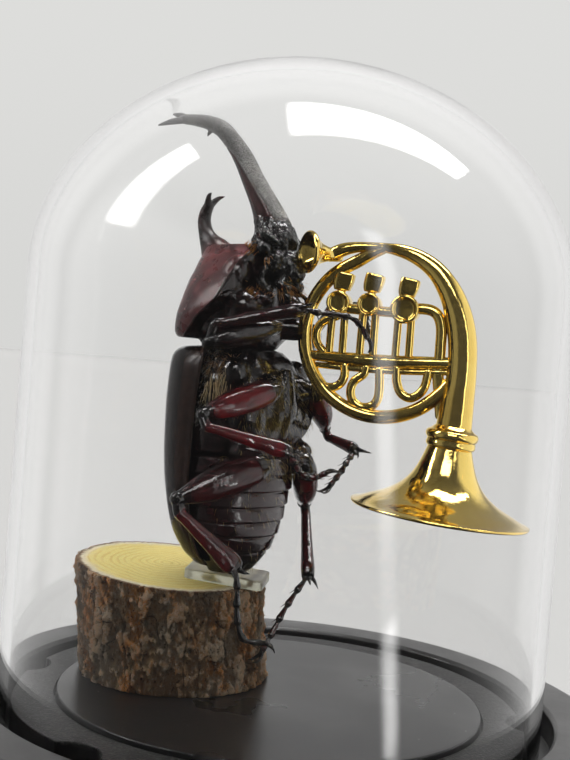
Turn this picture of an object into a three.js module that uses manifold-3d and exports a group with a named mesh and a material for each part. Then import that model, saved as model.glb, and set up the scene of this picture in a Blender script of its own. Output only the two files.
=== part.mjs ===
// A mounted rhinoceros beetle that plays a miniature French horn, on a log slice in a glass dome.
// Millimetres, +Z up. The origin is the centre of the base's underside, and the front faces -Y.
import * as THREE from "three";
import { mergeVertices } from "three/addons/utils/BufferGeometryUtils.js";
import Module from "manifold-3d";

const wasm = await Module();
wasm.setup();

// ---------------------------------------------------------------- driving dimensions

const FIT_GAP = 0.3; // clearance kept between pieces that touch
const RING_SIDES = 40; // facets round the stand and the dome

const BASE_RADIUS = 57;
const BASE_HEIGHT = 15;
const DECK_HEIGHT = 14.4; // textured floor inside the groove
const DECK_RADIUS = 42.5; // inner edge of the groove
const GROOVE_RADIUS = 47; // outer edge of the groove
const GROOVE_FLOOR = 10.2;
const RECESS_RADIUS = 35.9; // shallow seat of the loose plate
const RECESS_FLOOR = 13;
const PLATE_RADIUS = 35.4;
const PLATE_TOP = 15.1;
const NOTCH_RADIUS = 5.2; // finger notches cut into the deck's edge
const NOTCH_CENTRE = 45;
const NOTCH_AZIMUTHS = [-7, 171, -127]; // degrees from +X

const GLASS_RADIUS = 45;
const GLASS_WALL = 1.8;
const GLASS_SHOULDER = 83.1; // where the straight wall ends
const GLASS_TOP = 120.1;
const GLASS_ROUNDNESS = 1.95; // superellipse exponent of the crown

const LOG_RADIUS = 16.7;
const LOG_FOOT = [-17.4, 7.2];
const LOG_HEAD = [-19.4, 7.9]; // the slice was sawn from a leaning branch
const LOG_HEIGHT = 17.2; // under the beetle
const LOG_SLOPE = [-0.064, 0.063]; // rise of the sawn face along +X and +Y

const PAD_CENTRE = [-8.8, 4.2];
const PAD_SIZE = [13.6, 8.6];
const PAD_THICKNESS = 1.6;
const PAD_TURN = -8; // degrees

const BEETLE_FOOT = [-9.4, 2.0];
const BEETLE_TURN = -33; // degrees: the belly faces right and to the front
const PAD_TOP = PLATE_TOP + LOG_HEIGHT + PAD_THICKNESS;
const BODY_SIDES = 16;

const HORN_START = [3.2, -3.0]; // where the lead pipe meets the mouthpiece, seen from above
const HORN_TURN = -14; // degrees: the bell end comes forward
const BELL_RADIUS = 14.4;

// ---------------------------------------------------------------- finishes

function finish(colour, roughness, metalness = 0) {
  return new THREE.MeshStandardMaterial({ color: colour, roughness, metalness });
}

const blackPlastic = finish(0x2a2b2d, 0.55);
const platePlastic = finish(0x1b1c1f, 0.3);
const glass = finish(0xf2f6f6, 0.02);
const clearPlastic = finish(0xe9efee, 0.1);
const wood = finish(0xb98a55, 0.8);
const shellBrown = finish(0x35100c, 0.2);
const shellBlack = finish(0x140b0b, 0.2);
const goldPlate = finish(0xd9a520, 0.12, 1);

// ---------------------------------------------------------------- geometry helpers

const vec = (x, y, z) => new THREE.Vector3(x, y, z);
const radians = THREE.MathUtils.degToRad;

// A closed skin over rings with equal numbers of points, each ring turning
// counter-clockwise about the way the rings advance.
function skin(rings, startPole, endPole) {
  const count = rings[0].length;
  const points = rings.flat();
  const faces = [];
  for (let i = 0; i + 1 < rings.length; i += 1) {
    for (let j = 0; j < count; j += 1) {
      const a = i * count + j;
      const b = i * count + ((j + 1) % count);
      faces.push(a, b, b + count, a, b + count, a + count);
    }
  }
  const last = (rings.length - 1) * count;
  points.push(startPole, endPole);
  for (let j = 0; j < count; j += 1) {
    const next = (j + 1) % count;
    faces.push(points.length - 2, next, j);
    faces.push(points.length - 1, last + j, last + next);
  }
  const geometry = new THREE.BufferGeometry();
  const values = points.flatMap((point) => point.toArray());
  geometry.setAttribute("position", new THREE.Float32BufferAttribute(values, 3));
  geometry.setIndex(faces);
  return geometry;
}

function centreOf(ring) {
  const sum = vec(0, 0, 0);
  ring.forEach((point) => sum.add(point));
  return sum.divideScalar(ring.length);
}

// A round bar through hand-set stations [x, y, z, radius, flatness], with flat or pointed ends.
function limb(stations, sides = 8, wide = vec(0, 1, 0)) {
  const points = stations.map(([x, y, z]) => vec(x, y, z));
  const rings = points.map((point, i) => {
    const before = points[Math.max(i - 1, 0)];
    const after = points[Math.min(i + 1, points.length - 1)];
    const along = after.clone().sub(before).normalize();
    const across = wide.clone().addScaledVector(along, -wide.dot(along)).normalize();
    const up = along.clone().cross(across);
    const radius = stations[i][3];
    const flat = stations[i][4] ?? 1;
    return Array.from({ length: sides }, (_, j) => {
      const turn = (2 * Math.PI * j) / sides;
      return point
        .clone()
        .addScaledVector(across, radius * Math.cos(turn))
        .addScaledVector(up, radius * flat * Math.sin(turn));
    });
  });
  return skin(rings, points[0], points.at(-1));
}

// A level body section: centre, half depth to the back and to the belly, and half width.
function section({ z, x = 0, y = 0, back, belly, half, squareness = 2.2 }) {
  return Array.from({ length: BODY_SIDES }, (_, j) => {
    const turn = (2 * Math.PI * j) / BODY_SIDES;
    const c = Math.cos(turn);
    const s = Math.sin(turn);
    const reach = (Math.abs(c) ** squareness + Math.abs(s) ** squareness) ** (-1 / squareness);
    return vec(x + reach * c * (c > 0 ? belly : back), y + reach * s * half, z);
  });
}

function body(sections) {
  const rings = sections.map(section);
  return skin(rings, centreOf(rings[0]), centreOf(rings.at(-1)));
}

function toSolid(geometry) {
  const bare = geometry.clone();
  bare.deleteAttribute("normal");
  bare.deleteAttribute("uv");
  const merged = mergeVertices(bare, 1e-4);
  const vertProperties = merged.attributes.position.array;
  const triVerts = new Uint32Array(merged.index.array);
  return new wasm.Manifold(new wasm.Mesh({ numProp: 3, vertProperties, triVerts }));
}

function toGeometry(solid) {
  const mesh = solid.getMesh();
  const geometry = new THREE.BufferGeometry();
  geometry.setAttribute("position", new THREE.BufferAttribute(mesh.vertProperties, 3));
  geometry.setIndex(new THREE.BufferAttribute(mesh.triVerts, 1));
  return geometry;
}

const joined = (...geometries) => toGeometry(geometries.map(toSolid).reduce((a, b) => a.add(b)));
const cut = (geometry, ...tools) =>
  toGeometry(tools.map(toSolid).reduce((a, b) => a.subtract(b), toSolid(geometry)));
const common = (a, b) => toGeometry(toSolid(a).intersect(toSolid(b)));

function lathe(profile, segments) {
  const points = profile.map(([radius, z]) => new THREE.Vector2(radius, z));
  return new THREE.LatheGeometry(points, segments).rotateX(Math.PI / 2);
}

function piece(group, name, geometry, material) {
  const mesh = new THREE.Mesh(geometry, material);
  mesh.name = name;
  group.add(mesh);
}

// ---------------------------------------------------------------- stand and dome

function baseGeometry() {
  const turned = lathe(
    [
      [0, 0],
      [BASE_RADIUS - 1.2, 0],
      [BASE_RADIUS, 1.2],
      [BASE_RADIUS, BASE_HEIGHT - 2.4],
      [BASE_RADIUS - 0.8, BASE_HEIGHT - 0.8],
      [BASE_RADIUS - 2.6, BASE_HEIGHT],
      [GROOVE_RADIUS + 0.6, BASE_HEIGHT],
      [GROOVE_RADIUS, BASE_HEIGHT - 0.6],
      [GROOVE_RADIUS, GROOVE_FLOOR],
      [DECK_RADIUS, GROOVE_FLOOR],
      [DECK_RADIUS, DECK_HEIGHT],
      [RECESS_RADIUS, DECK_HEIGHT],
      [RECESS_RADIUS, RECESS_FLOOR],
      [0, RECESS_FLOOR],
    ],
    RING_SIDES,
  );
  const depth = DECK_HEIGHT - GROOVE_FLOOR;
  const notches = NOTCH_AZIMUTHS.map((azimuth) => {
    const x = NOTCH_CENTRE * Math.cos(radians(azimuth));
    const y = NOTCH_CENTRE * Math.sin(radians(azimuth));
    const notch = new THREE.CylinderGeometry(NOTCH_RADIUS, NOTCH_RADIUS, depth + 2, 16);
    return notch.rotateX(Math.PI / 2).translate(x, y, GROOVE_FLOOR + depth / 2 + 1);
  });
  const top = BASE_HEIGHT + 5;
  const reach = DECK_RADIUS + 1;
  const inside = lathe([[0, 0], [reach, 0], [reach, top], [0, top]], RING_SIDES);
  return cut(turned, ...notches.map((notch) => common(notch, inside)));
}

function plateGeometry() {
  const low = RECESS_FLOOR + FIT_GAP;
  const edge = 0.4;
  const profile = [
    [0, low],
    [PLATE_RADIUS, low],
    [PLATE_RADIUS, PLATE_TOP - edge],
    [PLATE_RADIUS - edge, PLATE_TOP],
    [0, PLATE_TOP],
  ];
  return lathe(profile, RING_SIDES);
}

function domeGeometry() {
  const steps = 6;
  const crown = (radius, top) =>
    Array.from({ length: steps }, (_, i) => {
      const turn = (i / steps) * Math.PI * 0.5;
      return [
        radius * Math.cos(turn) ** (2 / GLASS_ROUNDNESS),
        GLASS_SHOULDER + (top - GLASS_SHOULDER) * Math.sin(turn) ** (2 / GLASS_ROUNDNESS),
      ];
    });
  const foot = GROOVE_FLOOR + FIT_GAP;
  const inner = GLASS_RADIUS - GLASS_WALL;
  const profile = [
    [inner + 0.4, foot],
    [GLASS_RADIUS - 0.4, foot],
    [GLASS_RADIUS, foot + 0.5],
    ...crown(GLASS_RADIUS, GLASS_TOP),
    [0, GLASS_TOP],
    [0, GLASS_TOP - GLASS_WALL],
    ...crown(inner, GLASS_TOP - GLASS_WALL).reverse(),
    [inner, foot + 0.5],
    [inner + 0.4, foot],
  ];
  return lathe(profile, RING_SIDES);
}

// The sawn face is not level. It rises to the left and to the back.
function sawnRise(x, y) {
  return LOG_SLOPE[0] * (x - BEETLE_FOOT[0]) + LOG_SLOPE[1] * (y - BEETLE_FOOT[1]);
}

// The sawn slice keeps its bark, which is furrowed into uneven plates.
function logGeometry() {
  const sides = 36;
  const levels = [0, 0.06, 0.35, 0.68, 0.94, 1];
  const rings = levels.map((level, i) => {
    const x = THREE.MathUtils.lerp(LOG_FOOT[0], LOG_HEAD[0], level);
    const y = THREE.MathUtils.lerp(LOG_FOOT[1], LOG_HEAD[1], level);
    const edge = i === 0 || i === levels.length - 1 ? 0.5 : 0;
    return Array.from({ length: sides }, (_, j) => {
      const turn = (2 * Math.PI * j) / sides;
      const furrow = 0.3 * Math.sin(9 * turn + 2 * level) + 0.22 * Math.sin(17 * turn - 3 * level);
      const radius = LOG_RADIUS + furrow - edge;
      const px = x + radius * Math.cos(turn);
      const py = y + radius * Math.sin(turn);
      return vec(px, py, PLATE_TOP + (LOG_HEIGHT + sawnRise(px, py)) * level);
    });
  });
  return skin(rings, centreOf(rings[0]), centreOf(rings.at(-1)));
}

function padGeometry() {
  const pad = new THREE.BoxGeometry(PAD_SIZE[0], PAD_SIZE[1], PAD_THICKNESS);
  pad.rotateZ(radians(PAD_TURN));
  pad.translate(PAD_CENTRE[0], PAD_CENTRE[1], PLATE_TOP + LOG_HEIGHT + PAD_THICKNESS / 2);
  const points = pad.attributes.position;
  for (let i = 0; i < points.count; i += 1) {
    points.setZ(i, points.getZ(i) + sawnRise(points.getX(i), points.getY(i)));
  }
  return pad;
}

// ---------------------------------------------------------------- beetle
// Its own frame: +X is the belly side, +Y its left side, +Z towards the head.

// A wing case is a thin curved shell on one side of the back, from the seam to the flank.
function elytronGeometry(side) {
  const stations = [
    { z: 1.6, back: 4.4, half: 5.4 },
    { z: 4, back: 6.5, half: 8.6 },
    { z: 8, back: 8.4, half: 11.2 },
    { z: 14, back: 9.4, half: 12.9 },
    { z: 20, back: 10.6, half: 13.3 },
    { z: 27.5, back: 11.2, half: 13.1 },
    { z: 33, back: 11.4, half: 12.4 },
    { z: 36, back: 10.6, half: 11.2 },
    { z: 37.6, back: 9, half: 9.6 },
  ];
  const steps = 7;
  const wall = 0.8;
  const seamTurn = 0.02;
  const flankTurn = radians(96);
  const rings = stations.map(({ z, back, half }) => {
    const at = (inset, i) => {
      const turn = THREE.MathUtils.lerp(seamTurn, flankTurn, i / steps);
      return vec(-(back - inset) * Math.cos(turn), side * (half - inset) * Math.sin(turn), z);
    };
    const outer = Array.from({ length: steps + 1 }, (_, i) => at(0, i));
    const inner = Array.from({ length: steps + 1 }, (_, i) => at(wall, steps - i));
    const ring = [...outer, ...inner];
    return side < 0 ? ring : ring.reverse();
  });
  const half = Math.floor(steps / 2);
  const middle = (ring) => ring[half].clone().lerp(ring[2 * steps + 1 - half], 0.5);
  return skin(rings, middle(rings[0]), middle(rings.at(-1)));
}

// The belly's rings stand a little proud of the furrows between them.
function abdomenGeometry() {
  const rings = [
    { z: 0, back: 1.6, belly: 3.4, half: 3 },
    { z: 1.6, back: 2.4, belly: 5.2, half: 3.9 },
    { z: 4.4, back: 4.6, belly: 6.9, half: 7 },
    { z: 8.4, back: 6.7, belly: 8.1, half: 9.7 },
    { z: 12.8, back: 7.6, belly: 8.6, half: 11 },
    { z: 17, back: 8.6, belly: 9.4, half: 11.6 },
    { z: 20.4, back: 8.8, belly: 9, half: 11.6 },
  ];
  const stepped = rings.flatMap((ring, i) => {
    if (i === 0 || i === rings.length - 1) return [ring];
    const furrow = { ...ring, z: ring.z + 0.5, belly: ring.belly - 0.6, half: ring.half - 0.35 };
    return [ring, furrow];
  });
  return cut(body(stepped), ...hips(HIND_LEGS, FIT_GAP));
}

function thoraxGeometry() {
  const trunk = body([
    { z: 20.4 + FIT_GAP, back: 9, belly: 8.4, half: 11.6 },
    { z: 23.5, back: 9.6, belly: 9.6, half: 12 },
    { z: 28, back: 9.9, belly: 11.1, half: 11.9 },
    { z: 33, back: 10, belly: 9.8, half: 11.2 },
    { z: 36.4, back: 9, belly: 7.9, half: 9.6 },
    { z: 38.1, back: 6.5, belly: 6.6, half: 7.6 },
  ]);
  return joined(trunk, ...hips(["right_middle", "left_middle", ...HIND_LEGS]));
}

// The shield of the prothorax overhangs the sides, and a forked horn rises from its middle.
function prothoraxGeometry() {
  const trunk = body([
    { z: 38.4, back: 6.5, belly: 5.8, half: 7.6 },
    { z: 41, back: 8.6, belly: 6.6, half: 9.8 },
    { z: 45, back: 8.8, belly: 6.4, half: 9.2 },
    { z: 48.6, back: 8.6, belly: 4.2, half: 8 },
    { z: 51, back: 8.4, belly: 3, half: 7.2 },
    { z: 54.6, back: 6.6, belly: 0.2, half: 5 },
  ]);
  const shield = body([
    { z: 38.6, back: 9.6, belly: -3.6, half: 10.6, squareness: 2 },
    { z: 40.4, back: 10.1, belly: -1.6, half: 11.8, squareness: 2 },
    { z: 45, back: 10, belly: 0.6, half: 11.6, squareness: 2 },
    { z: 50, back: 9.5, belly: 2, half: 9.6, squareness: 2 },
    { z: 54, back: 8.8, belly: 1, half: 7.2, squareness: 2 },
    { z: 56, back: 7, belly: 0, half: 5.4, squareness: 2 },
  ]);
  const horn = limb([
    [-6, 0.6, 52, 3.4, 1.1],
    [-8, 0.6, 55, 2.3, 1],
    [-9.8, 0.5, 57.4, 1.5, 1],
    [-10.4, 0.5, 59.6, 1.2, 1],
    [-10.1, 0.6, 61.8, 1.1, 1.2],
    [-9.4, 0.7, 63.2, 0.9, 1.3],
  ]);
  const prong = (side) =>
    limb([[-9.8, 0.6, 62.4, 0.8], [-9.1, 0.7 + side * 1.1, 63.8, 0.6], [-8, 0.7 + side * 1.9, 64.4, 0.2]], 6);
  return joined(trunk, shield, horn, prong(-1), prong(1), ...hips(["right_front", "left_front"]));
}

// The head carries the long horn, which curves over the back to a forked tip, and the eyes.
function headGeometry() {
  const skull = body([
    { z: 47.4, x: 8, back: 1.2, belly: 1.4, half: 2.2 },
    { z: 49.6, x: 7.6, back: 2.2, belly: 2.4, half: 3.8 },
    { z: 53, x: 6.6, back: 2.7, belly: 2.9, half: 4.5 },
    { z: 56.4, x: 5.4, back: 3.3, belly: 3.2, half: 4.2 },
    { z: 59, x: 4.4, back: 3, belly: 3.2, half: 3.4 },
  ]);
  const horn = limb([
    [4.5, 0.8, 57.4, 3.4, 0.95],
    [3.8, 0.4, 60, 2.9, 0.95],
    [2.4, -0.4, 63.2, 2.3, 1],
    [0.7, -1.4, 66.6, 2, 1],
    [-0.8, -2.2, 70.2, 1.8, 1],
    [-2.6, -3.4, 73, 1.7, 1],
    [-4.5, -4.5, 74.8, 1.5, 1],
    [-6.4, -5.6, 75.4, 1.2, 1.1],
    [-8.3, -6.7, 75.6, 1, 1.2],
    [-10.1, -7.8, 75.6, 0.9, 1.3],
  ], 8, vec(-0.5, 0.85, 0));
  const fork = [-9.6, -7.5, 75.6];
  const prong = (tip) => limb([[...fork, 0.8], [...between(fork, tip, 0.5), 0.7], [...tip, 0.2]], 6);
  const eye = (side) => new THREE.SphereGeometry(1.3, 8, 6).translate(6, side * 3.9, 54.8);
  const jaw = limb([[7.8, 0.2, 50.2, 2], [9.4, 0.3, 49.6, 1.5], [10.4, 0.4, 49.4, 0.6]], 8);
  return joined(skull, horn, prong([-12.8, -11, 74.2]), prong([-13, -8, 76.5]), eye(-1), eye(1), jaw);
}

// Each leg: hip, knee and ankle joints, the start of the shin, and the foot down to its claws.
const LEGS = {
  right_front: {
    hip: [10.4, -5.2, 41.8],
    knee: [4.9, -14.9, 38.4],
    shin: [5.4, -15, 41.2],
    ankle: [15.8, -6, 44.8],
    foot: [[17.6, -3.6, 44.4], [19.8, -1.6, 44.4], [22, 0.4, 43.6], [23.6, 1.6, 41]],
    thigh: 2.2,
    calf: 1.3,
  },
  left_front: {
    hip: [10.4, 5.2, 41.8],
    knee: [4.4, 14.8, 38.6],
    shin: [4.8, 14.8, 41.4],
    ankle: [12.4, 9.4, 46.4],
    foot: [[14.2, 9.8, 46.8], [16.2, 10.2, 46.6], [18, 10, 45], [18.8, 9.6, 42.8]],
    thigh: 2.2,
    calf: 1.3,
  },
  right_middle: {
    hip: [11.8, -5.6, 31.8],
    knee: [5.9, -16.8, 27.2],
    shin: [6.7, -16.9, 25.4],
    ankle: [16.8, -8.5, 22.4],
    foot: [[17.6, -7.4, 20.2], [18.4, -6.5, 19], [19.8, -5.2, 18.6], [21.1, -3.8, 19.4]],
    thigh: 2.3,
    calf: 1.4,
  },
  left_middle: {
    hip: [11.8, 5.6, 32],
    knee: [8.7, 15.2, 25.2],
    shin: [9, 15.8, 23.6],
    ankle: [15.4, 15, 22],
    foot: [[14.9, 12.6, 19.4], [14.4, 12.6, 18.4], [13.8, 11.8, 17], [13.2, 10.9, 15.6]],
    thigh: 2.3,
    calf: 1.4,
  },
  right_hind: {
    hip: [11.2, -6.2, 19.8],
    knee: [3.4, -18.2, 13.8],
    shin: [3.9, -18.3, 11.8],
    ankle: [11, -12, 3.6],
    foot: [[11.3, -11.6, 0], [11.3, -11.1, -4], [12, -10, -7.6], [14.4, -8, -8.2]],
    thigh: 2.8,
    calf: 1.75,
  },
  left_hind: {
    hip: [11.4, 5.6, 19.2],
    knee: [5.4, 15.6, 11.6],
    shin: [5.8, 15.7, 9.6],
    ankle: [11.4, 9, 0],
    foot: [[10.6, 6.6, -2.8], [10, 4, -6], [9.4, 2, -9.4], [8.6, 0.6, -12.4]],
    thigh: 2.8,
    calf: 1.75,
  },
};
const HIP_RADIUS = 1.8;
const UPRIGHT = vec(0, 0, 1); // a leg's bars are deeper than they are wide
const HIND_LEGS = ["right_hind", "left_hind"];

// The lumps of the body that carry the legs. Grown a little, they make the room around them.
function hips(names, grow = 0) {
  return names.map((name) => {
    const [x, y, z] = LEGS[name].hip;
    const root = [x * 0.6, y * 0.6, z];
    const tip = towards(LEGS[name].hip, root, 0.4 - grow);
    const swell = between(root, tip, 0.75);
    const radius = HIP_RADIUS + grow;
    return limb([[...root, radius * 1.2], [...swell, radius * 1.1], [...tip, radius * 0.7]]);
  });
}

const between = (a, b, t) => a.map((value, i) => THREE.MathUtils.lerp(value, b[i], t));
const lengthOf = (a, b) => Math.hypot(a[0] - b[0], a[1] - b[1], a[2] - b[2]);

// A point at a distance in millimetres from a, towards b.
const towards = (a, b, distance) => between(a, b, distance / lengthOf(a, b));

function thighGeometry({ hip, knee, thigh }) {
  const start = towards(hip, knee, FIT_GAP + 1.9);
  return limb([
    [...start, thigh * 0.6],
    [...between(start, knee, 0.2), thigh * 0.95, 0.8],
    [...between(start, knee, 0.55), thigh, 0.75],
    [...between(start, knee, 0.86), thigh * 0.75, 0.8],
    [...knee, thigh * 0.4],
  ], 8, UPRIGHT);
}

// The shin widens to the ankle and bears teeth along its outer edge.
function shinGeometry({ shin, knee, ankle, calf }) {
  const side = Math.sign(knee[1]);
  const along = vec(...ankle).sub(vec(...shin)).normalize();
  const outward = vec(0, side, 0).addScaledVector(along, -side * along.y).normalize();
  const shaft = limb(
    [
      [...shin, calf * 0.6],
      [...between(shin, ankle, 0.12), calf * 0.8],
      [...between(shin, ankle, 0.55), calf * 0.85],
      [...between(shin, ankle, 0.9), calf * 1.15, 0.9],
      [...ankle, calf * 0.7],
    ],
    7,
    UPRIGHT,
  );
  const tooth = (share, length) => {
    const root = vec(...between(shin, ankle, share));
    const tip = root.clone().addScaledVector(outward, length).addScaledVector(along, length * 0.7);
    return limb([[...root, 0.65], [...tip, 0.15]], 4);
  };
  return joined(shaft, tooth(0.5, 2.3), tooth(0.72, 2.6), tooth(0.93, 3.2));
}

// Five beaded joints and a pair of hooked claws.
function footGeometry({ ankle, knee, foot }) {
  const start = towards(ankle, foot[0], FIT_GAP + 0.5);
  const route = new THREE.CatmullRomCurve3([vec(...start), ...foot.map((p) => vec(...p))]);
  const beads = 5;
  const stations = [];
  for (let i = 0; i < beads; i += 1) {
    const low = route.getPointAt(i / beads);
    const high = route.getPointAt((i + 0.8) / beads);
    stations.push([...low, 0.34], [...high, i === beads - 1 ? 0.5 : 0.72]);
  }
  const end = route.getPointAt(1);
  stations.push([...end, 0.4]);
  const along = route.getTangentAt(1);
  const across = vec(0, 0, 1).cross(along);
  if (across.length() < 0.1) across.set(0, 1, 0);
  across.normalize();
  const hook = along.clone().cross(across).normalize().multiplyScalar(Math.sign(knee[1]) || 1);
  const claw = (side) => {
    const reach = (outward, forward, down) =>
      end
        .clone()
        .addScaledVector(across, side * outward)
        .addScaledVector(along, forward)
        .addScaledVector(hook, down)
        .toArray();
    const base = reach(0, -0.3, 0);
    const bend = reach(0.7, 0.9, 0.3);
    const tip = reach(1, 1.8, 1);
    return limb([[...base, 0.3], [...bend, 0.26], [...tip, 0.1]], 4);
  };
  return joined(limb(stations, 4), claw(-1), claw(1));
}

function beetle() {
  const group = new THREE.Group();
  group.position.set(BEETLE_FOOT[0], BEETLE_FOOT[1], PAD_TOP + FIT_GAP);
  group.rotation.z = radians(BEETLE_TURN);
  piece(group, "head", headGeometry(), shellBlack);
  piece(group, "prothorax", prothoraxGeometry(), shellBrown);
  piece(group, "thorax", thoraxGeometry(), shellBlack);
  piece(group, "abdomen", abdomenGeometry(), shellBrown);
  piece(group, "right_wing_case", elytronGeometry(-1), shellBrown);
  piece(group, "left_wing_case", elytronGeometry(1), shellBrown);
  for (const [name, leg] of Object.entries(LEGS)) {
    piece(group, `${name}_thigh`, thighGeometry(leg), shellBrown);
    piece(group, `${name}_shin`, shinGeometry(leg), shellBrown);
    piece(group, `${name}_foot`, footGeometry(leg), shellBlack);
  }
  return group;
}

// ---------------------------------------------------------------- French horn
// Its own frame: +X along the instrument towards the bell end, +Z up, with its plane at y = 0.

function pipe(stations, sides = 10) {
  return limb(stations.map(([x, z, radius]) => [x, 0, z, radius]), sides);
}

const MAIN_BEND = [
  [0.9, 88.8, 0.9],
  [4, 90.2, 0.65],
  [9.5, 90.7, 0.7],
  [14.4, 89.9, 0.85],
  [18.6, 87.3, 1.3],
  [21.8, 83.2, 1.75],
  [23.6, 78, 2.1],
  [24.2, 71, 2.35],
  [23.9, 65, 2.65],
  [23.5, 61.2, 2.9],
];

const CUP_NECK = [1.5, 88.7]; // its mouthpiece turns to the front
const CUP_TURN = 38; // degrees
const BELL_FOOT = [22.4, 48.4];
const BELL_NECK = [23.3, 58.9];

function mainTubeGeometry() {
  const cup = [[4.2, 3.3], [3.6, 3.3], [2.3, 2], [0.4, 1]];
  const turn = radians(CUP_TURN);
  const stations = cup.map(([out, radius]) => [
    CUP_NECK[0] - out * Math.cos(turn),
    -out * Math.sin(turn),
    CUP_NECK[1],
    radius,
  ]);
  const mouthpiece = limb(stations, 14);
  const collar = pipe([
    [23.5, 62, 3.1],
    [23.45, 61.4, 4.2],
    [23.35, 60.2, 4.2],
    [23.3, 59.6, 3.6],
  ], 14);
  return joined(pipe(MAIN_BEND), mouthpiece, collar);
}

function bellGeometry() {
  const height = BELL_NECK[1] - BELL_FOOT[1];
  const flare = [
    [3.6, height],
    [3.9, height * 0.82],
    [4.6, height * 0.62],
    [6.1, height * 0.42],
    [8.6, height * 0.25],
    [11.6, height * 0.12],
    [BELL_RADIUS, 0],
  ];
  const wall = 0.7;
  const hollow = flare.slice(1, -1).map(([radius, z]) => [radius - wall, z - wall * 0.8]);
  const outer = flare.slice().reverse();
  const mouth = [BELL_RADIUS - 0.5, -0.5];
  const throat = height - 1.6;
  const bell = lathe([[0, throat], [hollow[0][0], throat], ...hollow, mouth, ...outer, [0, height]], 22);
  const lean = Math.atan2(BELL_NECK[0] - BELL_FOOT[0], height);
  return bell.rotateY(lean).translate(BELL_FOOT[0], 0, BELL_FOOT[1]);
}

const COIL_CENTRE = [11, 75.6];
const COIL_RADIUS = 13;
const COIL_TUBE = 1.15;

// The coil is one round pipe from under the lead pipe, round the left side, to the bell branch.
function coilGeometry() {
  const from = radians(103);
  const to = radians(318);
  const steps = 18;
  const stations = Array.from({ length: steps + 1 }, (_, i) => {
    const turn = THREE.MathUtils.lerp(from, to, i / steps);
    const x = COIL_CENTRE[0] + COIL_RADIUS * Math.cos(turn);
    return [x, COIL_CENTRE[1] + COIL_RADIUS * Math.sin(turn), COIL_TUBE];
  });
  const ring = pipe(stations, 8);
  const rail = (z, left, right) => pipe([[left, z, 0.55], [right, z, 0.55]], 6);
  const inset = (z) => Math.sqrt(COIL_RADIUS ** 2 - (z - COIL_CENTRE[1]) ** 2);
  const upper = rail(72.1, COIL_CENTRE[0] - inset(72.1), 21.4);
  const lower = rail(70.1, COIL_CENTRE[0] - inset(70.1), 21.2);
  const hook = (points) => pipe(points.map(([x, z]) => [x, z, 0.62]), 6);
  const leftHook = hook([[4.6, 70.1], [4.4, 67.6], [3, 66.6], [0.6, 67.2]]);
  const left = [[7.6, 70.1], [6.8, 67.6], [7.2, 65]];
  const right = [[10.8, 65], [11.2, 67.6], [10.8, 70.1]];
  const middleSlide = hook([...left, [9, 63.9], ...right]);
  const rightSlide = hook([[14, 70.1], [14.4, 67.4], [16, 66.2], [17.8, 66.8], [18.9, 68.4], [19, 70.1]]);
  return joined(ring, upper, lower, leftHook, middleSlide, rightSlide);
}

// Three rotary valves in a row, each a round drum with a key above and pipes below.
function valvesGeometry() {
  const drums = [3.8, 8.6, 14.6];
  const radii = [1.9, 1.8, 2.3];
  const parts = drums.flatMap((x, i) => {
    const drum = new THREE.CylinderGeometry(radii[i], radii[i], 3.4, 12).translate(x, 0, 80.6);
    const stem = pipe([[x, 79, 0.5], [x, 83, 0.5]], 6);
    const key = new THREE.BoxGeometry(2.2, 1.8, 1.9).translate(Math.max(x, 4.4), 0, 83.5);
    const pipes = [-1.1, 1.1].map((shift) => pipe([[x + shift, 72.8, 0.55], [x + shift, 80, 0.55]], 6));
    return [drum, stem, key, ...pipes];
  });
  const link = pipe([[3.8, 80.2, 0.7], [14.6, 80.2, 0.7]], 6);
  const bend = (radius, points) => pipe(points.map(([x, z]) => [x, z, radius]), 7);
  const rightBend = bend(0.9, [[14.6, 80.6], [18, 80.6], [19.6, 79.4], [20, 77], [20, 73]]);
  const leftBend = bend(0.7, [[3.8, 78.4], [1.6, 77.6], [0.6, 75.4], [1.2, 73]]);
  return joined(...parts, link, rightBend, leftBend);
}

function frenchHorn() {
  const group = new THREE.Group();
  group.position.set(HORN_START[0], HORN_START[1], 0);
  group.rotation.z = radians(HORN_TURN);
  piece(group, "french_horn_main_tube", mainTubeGeometry(), goldPlate);
  piece(group, "french_horn_bell", bellGeometry(), goldPlate);
  piece(group, "french_horn_coil", coilGeometry(), goldPlate);
  piece(group, "french_horn_valves", valvesGeometry(), goldPlate);
  return group;
}

// ---------------------------------------------------------------- whole object

const root = new THREE.Group();
piece(root, "base", baseGeometry(), blackPlastic);
piece(root, "base_plate", plateGeometry(), platePlastic);
piece(root, "glass_dome", domeGeometry(), glass);
piece(root, "log_slice", logGeometry(), wood);
piece(root, "acrylic_pad", padGeometry(), clearPlastic);
root.add(beetle());
root.add(frenchHorn());

export default root;
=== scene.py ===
"""Looks of a mounted rhinoceros beetle that plays a miniature French horn under a glass dome.

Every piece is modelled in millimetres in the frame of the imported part: +Z up, -Y to the front,
origin at the centre of the base's underside. The beetle and the French horn have frames of their own.
"""

import math

import bpy
import numpy as np
from mathutils import Matrix, Vector, noise


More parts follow.
